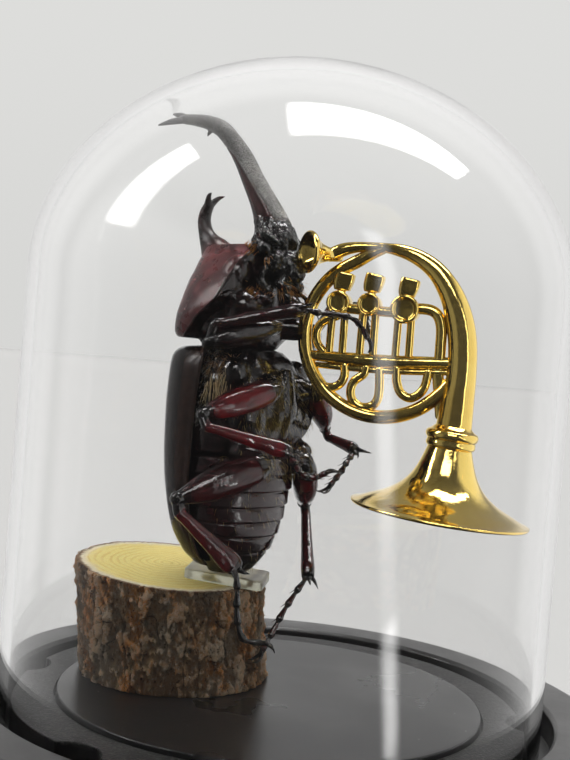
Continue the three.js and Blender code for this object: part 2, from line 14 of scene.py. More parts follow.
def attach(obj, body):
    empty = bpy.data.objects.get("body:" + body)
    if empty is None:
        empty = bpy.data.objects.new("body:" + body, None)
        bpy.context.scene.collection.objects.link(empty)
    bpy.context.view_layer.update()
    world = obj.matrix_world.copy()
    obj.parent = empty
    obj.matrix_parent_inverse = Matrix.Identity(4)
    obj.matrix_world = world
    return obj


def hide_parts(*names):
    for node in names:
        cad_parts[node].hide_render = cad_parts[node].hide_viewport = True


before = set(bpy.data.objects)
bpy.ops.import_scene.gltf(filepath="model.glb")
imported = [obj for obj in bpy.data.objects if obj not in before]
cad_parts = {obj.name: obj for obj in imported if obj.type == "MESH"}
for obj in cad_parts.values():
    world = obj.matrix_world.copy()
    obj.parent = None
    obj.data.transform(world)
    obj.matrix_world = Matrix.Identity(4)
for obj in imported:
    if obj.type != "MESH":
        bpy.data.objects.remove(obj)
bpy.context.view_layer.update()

bl_info = {
    "name": "Beetle in a Glass Dome",
    "version": (1, 0, 0),
    "blender": (4, 5, 0),
    "location": "3D Viewport > Sidebar > Beetle Dome",
    "description": "Builds a mounted beetle with a small French horn in a glass dome",
    "category": "Object",
}

MM = 0.001
BEETLE_FOOT = (-9.4, 2.0, 34.2)
BEETLE_TURN = math.radians(-33)
HORN_FOOT = (3.2, -3.0, 0.0)
HORN_TURN = math.radians(-14)


# ------------------------------------------------------------------ shapes


def mm(value):
    """A length of the settings in millimetres."""
    return value / MM


def turned_to(points, foot, turn):
    """Points of a piece's own frame, in the row frame: turned about +Z, then shifted."""
    points = np.asarray(points, float)
    c, s = math.cos(turn), math.sin(turn)
    return points @ np.array([[c, s, 0], [-s, c, 0], [0, 0, 1]]) + np.asarray(foot)


def on_beetle(points):
    return turned_to(points, BEETLE_FOOT, BEETLE_TURN)


def on_horn(points):
    return turned_to(points, HORN_FOOT, HORN_TURN)


def volume(points, faces):
    """The skin's volume is positive where its faces look outwards."""
    total = 0.0
    for face in faces:
        a = points[face[0]]
        for i in range(1, len(face) - 1):
            total += float(np.dot(a, np.cross(points[face[i]], points[face[i + 1]])))
    return total / 6


def skin(rings):
    """Points and faces of a closed skin over rings of equal counts, with a fan at each end."""
    rings = np.asarray(rings, float)
    count, sides = rings.shape[:2]
    points = np.vstack([rings.reshape(-1, 3), rings[0].mean(0), rings[-1].mean(0)])
    i, j = np.meshgrid(np.arange(count - 1), np.arange(sides), indexing="ij")
    a, b = i * sides + j, i * sides + (j + 1) % sides
    faces = np.stack([a, b, b + sides, a + sides], -1).reshape(-1, 4).tolist()
    k, after = np.arange(sides), (np.arange(sides) + 1) % sides
    last = (count - 1) * sides
    faces += np.stack([np.full(sides, count * sides), after, k], -1).tolist()
    faces += np.stack([np.full(sides, count * sides + 1), last + k, last + after], -1).tolist()
    if volume(points, faces) < 0:
        faces = [face[::-1] for face in faces]
    return points, faces


def joined(parts):
    """One list of points and one of faces from several closed skins."""
    points, faces, start = [], [], 0
    for part_points, part_faces in parts:
        points.append(part_points)
        faces += [[index + start for index in face] for face in part_faces]
        start += len(part_points)
    return np.vstack(points), faces


def resampled(rows, count):
    """Rows of numbers taken along a smooth curve through them (Catmull-Rom)."""
    rows = np.asarray(rows, float)
    padded = np.vstack([2 * rows[0] - rows[1], rows, 2 * rows[-1] - rows[-2]])
    t = np.linspace(0, len(rows) - 1, count)
    i = np.minimum(t.astype(int), len(rows) - 2)
    u = (t - i)[:, None]
    a, b, c, d = padded[i], padded[i + 1], padded[i + 2], padded[i + 3]
    cubic = 3 * b - a - 3 * c + d
    return 0.5 * (2 * b + (c - a) * u + (2 * a - 5 * b + 4 * c - d) * u**2 + cubic * u**3)


def rod(stations, sides=20, count=32, wide=(0, 1, 0), square=2.0, ends=(1.0, 1.0), shape=None):
    """A smooth bar through stations x, y, z, half width and, where it differs, half depth.
    ends are how far each rounded end stands out, in radii. shape(t, turn) scales the radius."""
    rows = [list(r) + ([r[3]] if len(r) == 4 else []) for r in stations]
    rows = resampled(rows, count)
    centre, half = rows[:, :3], np.maximum(rows[:, 3:5], 0.02)
    along = np.gradient(centre, axis=0)
    along /= np.linalg.norm(along, axis=1)[:, None]
    steps = np.sin(np.linspace(0, math.pi / 2, 5)[1:-1])
    if ends[0]:
        reach = ends[0] * half[0].min()
        head = [(centre[0] - along[0] * reach * s, half[0] * math.sqrt(1 - s * s)) for s in steps[::-1]]
        centre = np.vstack([[c for c, _ in head], centre])
        half = np.vstack([[h for _, h in head], half])
        along = np.vstack([[along[0]] * 3, along])
    if ends[1]:
        reach = ends[1] * half[-1].min()
        tail = [(centre[-1] + along[-1] * reach * s, half[-1] * math.sqrt(1 - s * s)) for s in steps]
        centre = np.vstack([centre, [c for c, _ in tail]])
        half = np.vstack([half, [h for _, h in tail]])
        along = np.vstack([along, [along[-1]] * 3])
    wide = np.asarray(wide, float)
    across = wide - along * (along @ wide)[:, None]
    across /= np.linalg.norm(across, axis=1)[:, None]
    up = np.cross(along, across)
    turn = np.linspace(0, 2 * math.pi, sides, endpoint=False)
    c, s = np.cos(turn), np.sin(turn)
    reach = (np.abs(c) ** square + np.abs(s) ** square) ** (-1 / square)
    if shape:
        t = np.linspace(0, 1, len(centre))
        reach = reach[None, :] * shape(t[:, None], turn[None, :])
    else:
        reach = np.broadcast_to(reach, (len(centre), sides))
    ring = centre[:, None, :] + (across * half[:, :1])[:, None, :] * (reach * c)[..., None]
    return skin(ring + (up * half[:, 1:2])[:, None, :] * (reach * s)[..., None])


def blob(centre, radii, along=(0, 0, 1), sides=20, rings=12):
    """An ellipsoid whose third radius lies along a direction."""
    axis = Vector(along).normalized()
    frame_of = np.array(axis.to_track_quat("Z", "Y").to_matrix())
    turn = np.linspace(0, 2 * math.pi, sides, endpoint=False)
    tilt = np.linspace(0, math.pi, rings + 2)[1:-1]
    ring = np.stack(
        [
            np.sin(tilt)[:, None] * np.cos(turn) * radii[0],
            np.sin(tilt)[:, None] * np.sin(turn) * radii[1],
            np.broadcast_to(np.cos(tilt)[:, None] * radii[2], (rings, sides)),
        ],
        -1,
    )
    return skin(ring @ frame_of.T + np.asarray(centre, float))


def turned(profile, sides=256):
    """A skin turned about +Z over rows of radius and height. A radius may be one for each side."""
    turn = np.linspace(0, 2 * math.pi, sides, endpoint=False)
    rings = [
        np.stack([radius * np.cos(turn), radius * np.sin(turn), np.full(sides, z)], -1)
        for radius, z in profile
    ]
    return skin(rings)


def rounded(profile, radius, steps=4):
    """The same profile with each inner corner rounded."""
    profile = [(np.asarray(r, float), float(z)) for r, z in profile]
    made = [profile[0]]
    for before, corner, after in zip(profile, profile[1:], profile[2:]):
        lengths = []
        for end in (before, after):
            gap = math.hypot(float(np.max(np.abs(end[0] - corner[0]))), end[1] - corner[1])
            lengths.append(min(radius / gap, 0.45) if gap else 0)
        for u in np.linspace(0, 1, steps + 1):
            a, b = (1 - u) ** 2 * lengths[0], u**2 * lengths[1]
            made.append(
                (
                    corner[0] + a * (before[0] - corner[0]) + b * (after[0] - corner[0]),
                    corner[1] + a * (before[1] - corner[1]) + b * (after[1] - corner[1]),
                )
            )
    return made + [profile[-1]]


def rough(point, scale, octaves=4):
    """Fractal noise from about -1 to 1 at a point in millimetres."""
    return noise.fractal(Vector(point) / scale, 1.0, 2.1, octaves)


# ------------------------------------------------------------------ objects


def new_object(name, mesh):
    made = bpy.data.objects.new(name, mesh)
    bpy.context.scene.collection.objects.link(made)
    return made


def object_of(name, points, faces, *materials):
    """A smooth-shaded object from points in millimetres of the row frame."""
    mesh = bpy.data.meshes.new(name)
    mesh.from_pydata((np.asarray(points) * MM).tolist(), [], faces)
    for material in materials:
        mesh.materials.append(material)
    mesh.shade_smooth()
    mesh.update()
    return new_object(name, mesh)


def made_plain(made):
    """The object with its modifiers taken into its mesh."""
    graph = bpy.context.evaluated_depsgraph_get()
    mesh = bpy.data.meshes.new_from_object(made.evaluated_get(graph))
    old = made.data
    made.modifiers.clear()
    made.data = mesh
    bpy.data.meshes.remove(old)
    return made


def fused(name, parts, voxel, ease, *materials):
    """Overlapping skins grown into one, with voxel in millimetres and ease smoothing steps."""
    made = object_of(name, *joined(parts), *materials)
    remesh = made.modifiers.new("grow together", "REMESH")
    remesh.mode = "VOXEL"
    remesh.voxel_size = voxel * MM
    remesh.use_smooth_shade = True
    if ease:
        soften = made.modifiers.new("soften", "SMOOTH")
        soften.factor = 0.6
        soften.iterations = ease
    return made_plain(made)


def points_of(made):
    """The mesh's points in millimetres of the row frame."""
    flat = np.empty(len(made.data.vertices) * 3, np.float32)
    made.data.vertices.foreach_get("co", flat)
    return flat.reshape(-1, 3).astype(float) / MM


def move_points(made, points):
    made.data.vertices.foreach_set("co", (np.asarray(points) * MM).astype(np.float32).ravel())
    made.data.update()


def normals_of(made):
    flat = np.empty(len(made.data.vertices) * 3, np.float32)
    made.data.vertex_normals.foreach_get("vector", flat)
    return flat.reshape(-1, 3).astype(float)


def paint(made, name, values):
    """A number at each point of the mesh, which materials and bristles read."""
    attribute = made.data.attributes.new(name, "FLOAT", "POINT")
    attribute.data.foreach_set("value", np.asarray(values, np.float32))


def swell(points, centre, radius):
    """1 at a centre, falling smoothly to 0 at about two radii."""
    gap = np.linalg.norm(points - np.asarray(centre, float), axis=1)
    return np.exp(-((gap / radius) ** 2))


def ramp_of(value, low, high):
    """A smooth step from 0 to 1 between two values."""
    t = np.clip((value - low) / (high - low), 0, 1)
    return t * t * (3 - 2 * t)


def place(made, slot, *nodes):
    """The piece rides on the one body and stands for its CAD nodes. The slot is not used."""
    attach(made, "root")
    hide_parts(*nodes)


# ------------------------------------------------------------------ material nodes


def scaled(colour, factor, lift=0.0):
    return tuple(c * factor + lift for c in colour)


class Finish:
    """A material around one Principled shader, with short calls for the nodes that feed it."""

    def __init__(self, name, **constants):
        self.material = bpy.data.materials.new(name)
        self.material.use_nodes = True
        self.tree = self.material.node_tree
        self.shader = self.tree.nodes["Principled BSDF"]
        for key, value in constants.items():
            self.set(key, value)
        coordinates = self.node("ShaderNodeTexCoord").outputs["Object"]
        self.place = self.stretched(coordinates, (1 / MM,) * 3)

    def set(self, key, value):
        """Sets or links an input of the shader. The key is its name in lower case with _ for a space."""
        titles = {"ior": "IOR", "coat_ior": "Coat IOR", "specular_ior_level": "Specular IOR Level"}
        socket = self.shader.inputs[titles.get(key, key.replace("_", " ").title())]
        self.feed(socket, value)

    def feed(self, socket, value):
        if isinstance(value, bpy.types.NodeSocket):
            self.tree.links.new(value, socket)
        elif socket.type == "RGBA" and len(value) == 3:
            socket.default_value = (*value, 1)
        else:
            socket.default_value = value

    def node(self, kind, inputs=None, **settings):
        made = self.tree.nodes.new(kind)
        for key, value in settings.items():
            setattr(made, key, value)
        for key, value in (inputs or {}).items():
            self.feed(made.inputs[key], value)
        return made

    def stretched(self, place, scale, shift=(0, 0, 0)):
        return self.node("ShaderNodeMapping", {"Vector": place, "Scale": scale, "Location": shift}).outputs[0]

    def noise(self, scale, detail=4, rough=0.5, place=None):
        inputs = {"Vector": place or self.place, "Scale": scale, "Detail": detail, "Roughness": rough}
        return self.node("ShaderNodeTexNoise", inputs).outputs["Fac"]

    def cells(self, scale):
        return self.node("ShaderNodeTexVoronoi", {"Vector": self.place, "Scale": scale}).outputs["Distance"]

    def attribute(self, name):
        return self.node("ShaderNodeAttribute", attribute_name=name).outputs["Fac"]

    def axis(self, name, place=None):
        return self.node("ShaderNodeSeparateXYZ", {0: place or self.place}).outputs[name]

    def sum(self, a, b, operation="ADD"):
        return self.node("ShaderNodeMath", {0: a, 1: b}, operation=operation).outputs[0]

    def times(self, a, b):
        return self.sum(a, b, "MULTIPLY")

    def distance(self, x, y):
        """How far a place is from the Z axis."""
        return self.sum(self.sum(self.times(x, x), self.times(y, y)), 0.5, "POWER")

    def mix(self, share, a, b):
        """A number between two others."""
        return self.node("ShaderNodeMix", {0: share, 2: a, 3: b}).outputs[0]

    def between(self, value, low, high, to_low=0.0, to_high=1.0):
        inputs = {"Value": value, "From Min": low, "From Max": high, "To Min": to_low, "To Max": to_high}
        return self.node("ShaderNodeMapRange", inputs, interpolation_type="SMOOTHSTEP").outputs[0]

    def blend(self, share, a, b):
        """A colour between two others."""
        made = self.node("ShaderNodeMix", data_type="RGBA")
        self.feed(made.inputs["Factor"], share)
        self.feed(made.inputs[6], a)
        self.feed(made.inputs[7], b)
        return made.outputs[2]

    def bump(self, *layers):
        """Bumps from (height, depth in millimetres) layers, one on another."""
        normal = None
        for height, depth in layers:
            inputs = {"Height": height, "Distance": depth * MM, "Strength": 1.0}
            if normal:
                inputs["Normal"] = normal
            normal = self.node("ShaderNodeBump", inputs).outputs[0]
        self.set("normal", normal)
        return self.material


# ------------------------------------------------------------------ stand and dome

NOTCH_AZIMUTHS = (-7, 171, -127)
GROOVE_FLOOR = 10.2
DECK_TOP = 14.4
SEAT_FLOOR = 13.0
SEAT_RADIUS = 35.75
# The innermost ring of the base's skin, which a fan closes.
FAN_RADIUS = 8.0
GLASS_FOOT = 10.5
SHOULDER = 83.1
CROWN_ROUNDNESS = 1.95


def notch_edge(turn, radius, settings):
    """The deck's edge radius at each turn, drawn in where the three finger notches are."""
    edge = np.full(len(turn), radius)
    for azimuth in NOTCH_AZIMUTHS:
        swing = (turn - math.radians(azimuth) + math.pi) % (2 * math.pi) - math.pi
        inside = mm(settings.notch_radius) ** 2 - (mm(settings.notch_centre) * np.sin(swing)) ** 2
        near = mm(settings.notch_centre) * np.cos(swing) - np.sqrt(np.maximum(inside, 0))
        edge = np.where((inside > 0) & (np.cos(swing) > 0), np.minimum(edge, near), edge)
    return edge


def base_material(colour):
    made = Finish("textured black plastic", ior=1.5, specular_ior_level=0.6)
    radius = made.distance(made.axis("X"), made.axis("Y"))
    on_deck = made.times(made.between(radius, 42.6, 42.3), made.between(made.axis("Z"), 13.6, 14.2))
    spark = made.noise(2.4, 2, 0.6)
    soot = made.noise(0.09, 5, 0.6)
    tone = made.blend(soot, colour, scaled(colour, 1.7, 0.003))
    glints = made.times(made.between(spark, 0.5, 0.68), on_deck)
    made.set("base_color", made.blend(glints, tone, (0.075, 0.073, 0.07)))
    smooth = made.between(soot, 0.3, 0.7, 0.3, 0.42)
    made.set("roughness", made.mix(on_deck, smooth, 0.5))
    return made.bump((made.times(spark, made.sum(on_deck, 0.06)), 0.16))


def plate_material(colour):
    made = Finish("satin black disc", ior=1.5, specular_ior_level=0.5)
    film = made.noise(0.05, 3, 0.5)
    dust = made.between(made.cells(0.3), 0.04, 0.025)
    tone = made.blend(film, colour, scaled(colour, 1.5, 0.002))
    made.set("base_color", made.blend(made.times(dust, 0.8), tone, (0.5, 0.49, 0.46)))
    made.set("roughness", made.between(film, 0.35, 0.65, 0.27, 0.33))
    return made.bump((made.noise(2.6, 2), 0.003))


def glass_material(ior):
    """Clear glass whose surface waves very slightly."""
    white = (1.0, 1.0, 1.0)
    made = Finish("clear blown glass", base_color=white, transmission_weight=1.0, roughness=0.0, ior=ior)
    return made.bump((made.noise(0.045, 2, 0.4), 0.02))


def make_stand(settings):
    sides = 720
    turn = np.linspace(0, 2 * math.pi, sides, endpoint=False)
    outer, top, groove = mm(settings.base_radius), mm(settings.base_height), mm(settings.groove_radius)
    edge = notch_edge(turn, mm(settings.deck_radius), settings)
    rows = [
        (FAN_RADIUS, 0.0),
        (outer - 1.2, 0.0),
        (outer, 1.2),
        (outer, top - 2.4),
        (outer - 0.8, top - 0.8),
        (outer - 2.6, top),
        (groove + 0.6, top),
        (groove, top - 0.6),
        (groove, GROOVE_FLOOR),
        (edge, GROOVE_FLOOR),
        (edge, DECK_TOP),
        (SEAT_RADIUS, DECK_TOP),
        (SEAT_RADIUS, SEAT_FLOOR),
        (FAN_RADIUS, SEAT_FLOOR),
    ]
    plastic = base_material(settings.base_colour)
    place(object_of("moulded_base", *turned(rounded(rows, 0.2), sides), plastic), "base_plastic", "base")
    rows = [(6.0, 13.3), (35.4, 13.3), (35.4, 14.95), (35.25, 15.1), (34.2, 15.1), (6.0, 15.1)]
    satin = plate_material(settings.plate_colour)
    disc = object_of("inlaid_disc", *turned(rounded(rows, 0.12, 3), 360), satin)
    place(disc, "plate_plastic", "base_plate")


def make_dome(settings):
    """Straight wall, then a superellipse crown. The foot is fire-polished to a round edge."""
    outer, wall, top = mm(settings.glass_radius), mm(settings.glass_wall), mm(settings.glass_top)
    inner = outer - wall
    power = 2 / CROWN_ROUNDNESS

    def crown(radius, top):
        turn = np.linspace(0, math.pi / 2, 44)[:-1]
        height = SHOULDER + (top - SHOULDER) * np.sin(turn) ** power
        return list(zip(radius * np.cos(turn) ** power, height))

    levels = np.linspace(12.0, SHOULDER, 14)[:-1]
    outside = [(outer, z) for z in levels] + crown(outer, top)
    inside = [(inner, z) for z in levels] + crown(inner, top - wall)
    middle, half = (outer + inner) / 2, (outer - inner) / 2
    turns = np.linspace(0, math.pi, 13)
    foot = [(middle + half * math.cos(a), GLASS_FOOT + half - half * math.sin(a)) for a in turns]
    dome = object_of("blown_dome", *turned(outside[::-1] + foot + inside), glass_material(settings.ior))
    place(dome, "dome_glass", "glass_dome")


# ------------------------------------------------------------------ log slice and pad

LOG_LOW = 15.1
LOG_HEIGHT = 17.2
LOG_RADIUS = 16.45
LOG_FOOT, LOG_HEAD = np.array([-17.4, 7.2]), np.array([-19.4, 7.9])
FACE_SHARES = (0.99, 0.975, 0.95, 0.92, 0.88, 0.8, 0.7, 0.55, 0.4, 0.25, 0.1)
PAD_SIZE = (13.6, 8.6, 1.6)
PAD_CENTRE = (-8.8, 4.2, 32.3)
PAD_TURN = math.radians(-8)


def wood_materials(settings):
    """The sawn face, with rings round an off-centre pith, and the bark."""
    face = Finish("sawn end grain", ior=1.45, specular_ior_level=0.25)
    squeeze = (1.0, 0.93, 0.4)
    centred = face.stretched(face.place, squeeze, tuple(-mm(c) * k for c, k in zip(settings.pith, squeeze)))
    wander = face.noise(0.12, 3, 0.5, centred)
    x, y = face.axis("X", centred), face.axis("Y", centred)
    radius = face.sum(face.distance(x, y), face.times(wander, 4.0))
    phase = face.times(radius, 2 * math.pi / mm(settings.ring_gap))
    lines = face.between(face.sum(phase, 0.0, "SINE"), 0.0, 0.9)
    early = face.blend(face.noise(0.3, 4, 0.6, centred), settings.wood_colour, (1.0, 0.87, 0.36))
    late = face.blend(face.noise(1.2, 3), (0.78, 0.46, 0.09), (0.90, 0.60, 0.15))
    strength = face.between(face.noise(0.25, 2, 0.5, centred), 0.3, 0.6, 0.08, 0.4)
    wood = face.blend(face.times(lines, strength), early, late)
    sap = face.blend(face.noise(0.8, 4), (1.0, 0.92, 0.72), (0.86, 0.70, 0.44))
    wood = face.blend(face.attribute("sapwood"), wood, sap)
    rim = face.blend(face.noise(1.5, 3), (0.30, 0.16, 0.07), (0.10, 0.055, 0.03))
    wood = face.blend(face.attribute("bark_edge"), wood, rim)
    fibre = face.noise(2.2, 4, 0.7)
    torn = face.times(face.between(fibre, 0.5, 0.75), 0.15)
    face.set("base_color", face.blend(torn, wood, (0.4, 0.25, 0.08)))
    face.set("roughness", face.between(fibre, 0.3, 0.7, 0.5, 0.72))
    face.bump((fibre, 0.08), (lines, 0.05))

    bark = Finish("furrowed bark", ior=1.4, specular_ior_level=0.25)
    tall = bark.stretched(bark.place, (1, 1, 0.3))
    short = bark.stretched(bark.place, (1, 1, 0.5), (7, 0, 0))
    tone = settings.bark_colour
    # Red patches, grey lichen, tan scales, pale flakes and dark pores, one over the other.
    for scale, detail, rough_by, place_of, low, high, share, colour in (
        (0.2, 4, 0.65, tall, 0.44, 0.58, 1.0, (0.95, 0.42, 0.15)),
        (0.17, 5, 0.7, None, 0.46, 0.6, 0.85, (0.80, 0.65, 0.47)),
        (0.6, 4, 0.75, tall, 0.52, 0.66, 0.8, (0.98, 0.70, 0.40)),
        (2.4, 4, 0.75, None, 0.52, 0.66, 0.75, (0.92, 0.82, 0.66)),
        (2.0, 4, 0.75, short, 0.56, 0.66, 0.8, (0.035, 0.02, 0.012)),
    ):
        spots = bark.between(bark.noise(scale, detail, rough_by, place_of), low, high)
        tone = bark.blend(bark.times(spots, share), tone, colour)
    # Painted shade darkens the low-lying bark, and the cracks nearly to black; a painted highlight lightens
    # the raised plates.
    crest = bark.attribute("crest")
    low = bark.between(crest, 0.15, 0.5, 0.6, 0.0)
    tone = bark.blend(low, tone, (0.05, 0.028, 0.016))
    tone = bark.blend(bark.between(crest, 0.55, 0.9, 0.0, 0.5), tone, (0.95, 0.72, 0.48))
    tone = bark.blend(bark.attribute("furrow"), tone, (0.012, 0.007, 0.005))
    bark.set("base_color", tone)
    bark.set("roughness", bark.between(bark.noise(1.0), 0.3, 0.7, 0.7, 0.95))
    return face.material, bark.bump((bark.noise(1.0, 6, 0.85, tall), 1.8), (bark.noise(3.2, 4, 0.75), 0.35))


def bark_relief(turn, height):
    """How far the bark stands out in millimetres, and how deep in a furrow the point is."""
    x, y = 16.7 * math.cos(turn), 16.7 * math.sin(turn)

    def plain(a, b, c):
        return noise.noise(Vector((a, b, c)))

    drift = 1.5 * rough((x, y, height * 0.5 + 40), 6.0, 3)
    # Long upright cracks split the bark, and shorter ones cross them here and there.
    upright = abs(plain((x + drift) / 3.1, (y + drift) / 3.1, height / 26.0)) * 2.4
    across = abs(plain(x / 6.0, y / 6.0, (height + drift) / 2.2 + 5)) * 2.4
    patch = float(ramp_of(plain(x / 7.0, y / 7.0, height / 9.0 + 3), 0.0, 0.3))
    furrow = float(ramp_of(upright, 0.13, 0.0)) * (0.35 + 0.65 * patch)
    furrow = max(furrow, 0.7 * float(ramp_of(across, 0.1, 0.0)) * patch)
    # Between the cracks the bark breaks into plates of uneven height.
    jagged = 0.5 * rough((x, y, height + 70), 1.1, 3)
    level = height / 8.5 + 0.5 * drift + 0.3 * jagged
    near, seeds = noise.voronoi(Vector(((x + drift + jagged) / 2.3, (y + drift) / 2.3, level)))
    furrow = max(furrow, 0.4 * float(ramp_of(near[1] - near[0], 0.08, 0.0)) * (0.3 + 0.7 * patch))
    plates = noise.cell(seeds[0] * 9.7)
    coarse = 0.45 * rough((x, y, height * 0.5), 3.2, 3)
    fine = 0.55 * rough((x, y, height * 0.7 + 9), 0.9, 4)
    return coarse + fine + 0.4 * plates - 0.2 - 0.9 * furrow, furrow


def sawn_rise(x, y):
    """The sawn face rises to the left and to the back."""
    return -0.064 * (x - BEETLE_FOOT[0]) + 0.063 * (y - BEETLE_FOOT[1])


def make_log(settings):
    sides, levels = 560, 110
    turn = np.linspace(0, 2 * math.pi, sides, endpoint=False)
    rings, furrows, crests = [], [], []
    for share in np.linspace(0, 1, levels):
        relief = np.array([bark_relief(t, share * LOG_HEIGHT) for t in turn])
        end = max(0.0, 1 - min(share, 1 - share) * LOG_HEIGHT / 0.35)
        radius = LOG_RADIUS + relief[:, 0] * (1 - 0.5 * end) - 0.35 * end**2
        centre = LOG_FOOT + (LOG_HEAD - LOG_FOOT) * share
        x, y = centre[0] + radius * np.cos(turn), centre[1] + radius * np.sin(turn)
        rings.append(np.stack([x, y, LOG_LOW + (LOG_HEIGHT + sawn_rise(x, y)) * share], -1))
        furrows.append(relief[:, 1])
        crests.append(ramp_of(relief[:, 0], -0.7, 0.7))
    rim = rings[-1]
    centre = np.array([*LOG_HEAD, LOG_LOW + LOG_HEIGHT + sawn_rise(*LOG_HEAD)])
    furrows[-1] = furrows[-1] * 0.3
    bottom = np.array([*LOG_FOOT, LOG_LOW])
    under = [bottom + (rings[0] - bottom) * s for s in (0.4, 0.8)]
    over = [centre + (rim - centre) * s for s in FACE_SHARES]
    for ring in over:
        ring[:, 2] += [0.05 * rough((*point[:2], 0), 2.5, 2) for point in ring]
    face, bark = wood_materials(settings)
    points, faces = skin(under + rings + over)
    log = object_of("branch_slice", points, faces, bark, face)
    sawn = (len(under) + levels - 1) * sides
    materials = np.zeros(len(faces), np.int32)
    corners = np.array([min(face[:3]) for face in faces])
    materials[corners >= sawn] = 1
    materials[corners < sides] = 1
    materials[-2 * sides : -sides] = 1
    log.data.polygons.foreach_set("material_index", materials)
    blank = [np.zeros(sides)]
    # The depth of each crack and the height of the bark, which the bark's painted shade and painted highlight
    # read.
    for name, values in (("furrow", furrows), ("crest", crests)):
        paint(log, name, np.concatenate(blank * len(under) + values + blank * len(over) + [[0], [0]]))
    spots = points_of(log)
    rest = [np.full(sides, s) for s in FACE_SHARES]
    out = np.concatenate([np.ones((len(under) + levels) * sides), *rest, [0], [0]])
    wobble = np.array([rough((*p[:2], 3), 6.0, 2) for p in spots]) * 0.04
    paint(log, "sapwood", ramp_of(out + wobble, 0.86, 0.93))
    paint(log, "bark_edge", ramp_of(out + 0.3 * wobble, 0.955, 0.985))
    place(log, "log_wood", "log_slice")


def make_pad(settings):
    """A clear block with eased edges, which lies on the sawn face."""
    wide, deep, tall = PAD_SIZE
    c, s = math.cos(PAD_TURN), math.sin(PAD_TURN)
    turn = np.linspace(0, 2 * math.pi, 160, endpoint=False)
    square = 14.0
    reach = (np.abs(np.cos(turn)) ** square + np.abs(np.sin(turn)) ** square) ** (-1 / square)
    rings = []
    edges = [(0.6, 0), (0.12, 0), (0, 0.12), (0, 0.8), (0, 1.48), (0.12, tall), (0.6, tall), (3, tall)]
    for inset, z in edges:
        x = reach * np.cos(turn) * (wide / 2 - inset)
        y = reach * np.sin(turn) * (deep / 2 - inset)
        x, y = PAD_CENTRE[0] + c * x - s * y, PAD_CENTRE[1] + s * x + c * y
        rings.append(np.stack([x, y, PAD_CENTRE[2] + z + sawn_rise(x, y)], -1))
    acrylic = Finish("scuffed clear acrylic", transmission_weight=1.0, ior=1.4, roughness=0.3)
    acrylic.set("base_color", settings.pad_colour)
    acrylic = acrylic.bump((acrylic.noise(0.5, 3), 0.03))
    place(object_of("clear_pad", *skin(rings), acrylic), "pad_acrylic", "acrylic_pad")


# ------------------------------------------------------------------ French horn

CUP_TURN = math.radians(38)
COIL_CENTRE, COIL_RADIUS = (11.05, 75.8), 13.1
BELL_LENGTH = 10.54


def gold_material(settings):
    made = Finish("polished gold plate", metallic=1.0)
    cloud = made.noise(0.12, 4, 0.6)
    deep = tuple(c * k for c, k in zip(settings.gold_colour, (0.86, 0.72, 0.5)))
    made.set("base_color", made.blend(cloud, settings.gold_colour, deep))
    smear = made.noise(0.8, 5, 0.65)
    polish = settings.polish
    made.set("roughness", made.between(smear, 0.35, 0.75, polish, polish + 0.1))
    return made.bump((made.noise(0.22, 2, 0.4), 0.14), (made.noise(1.4, 3, 0.5), 0.02))


def pipe(stations, sides=24, count=60, radius=None):
    """A round pipe in the French horn's plane through x and z, with one radius or one at each station."""
    return rod([(row[0], 0, row[1], radius or row[2]) for row in stations], sides, count)


def revolved(foot, lean, profile, sides=72):
    """Rows of radius and height about an axis in the horn's plane, leaning towards +X."""
    points, faces = turned(profile, sides)
    c, s = math.cos(lean), math.sin(lean)
    x, z = points[:, 0] * c + points[:, 2] * s, points[:, 2] * c - points[:, 0] * s
    return np.stack([x + foot[0], points[:, 1], z + foot[1]], -1), faces


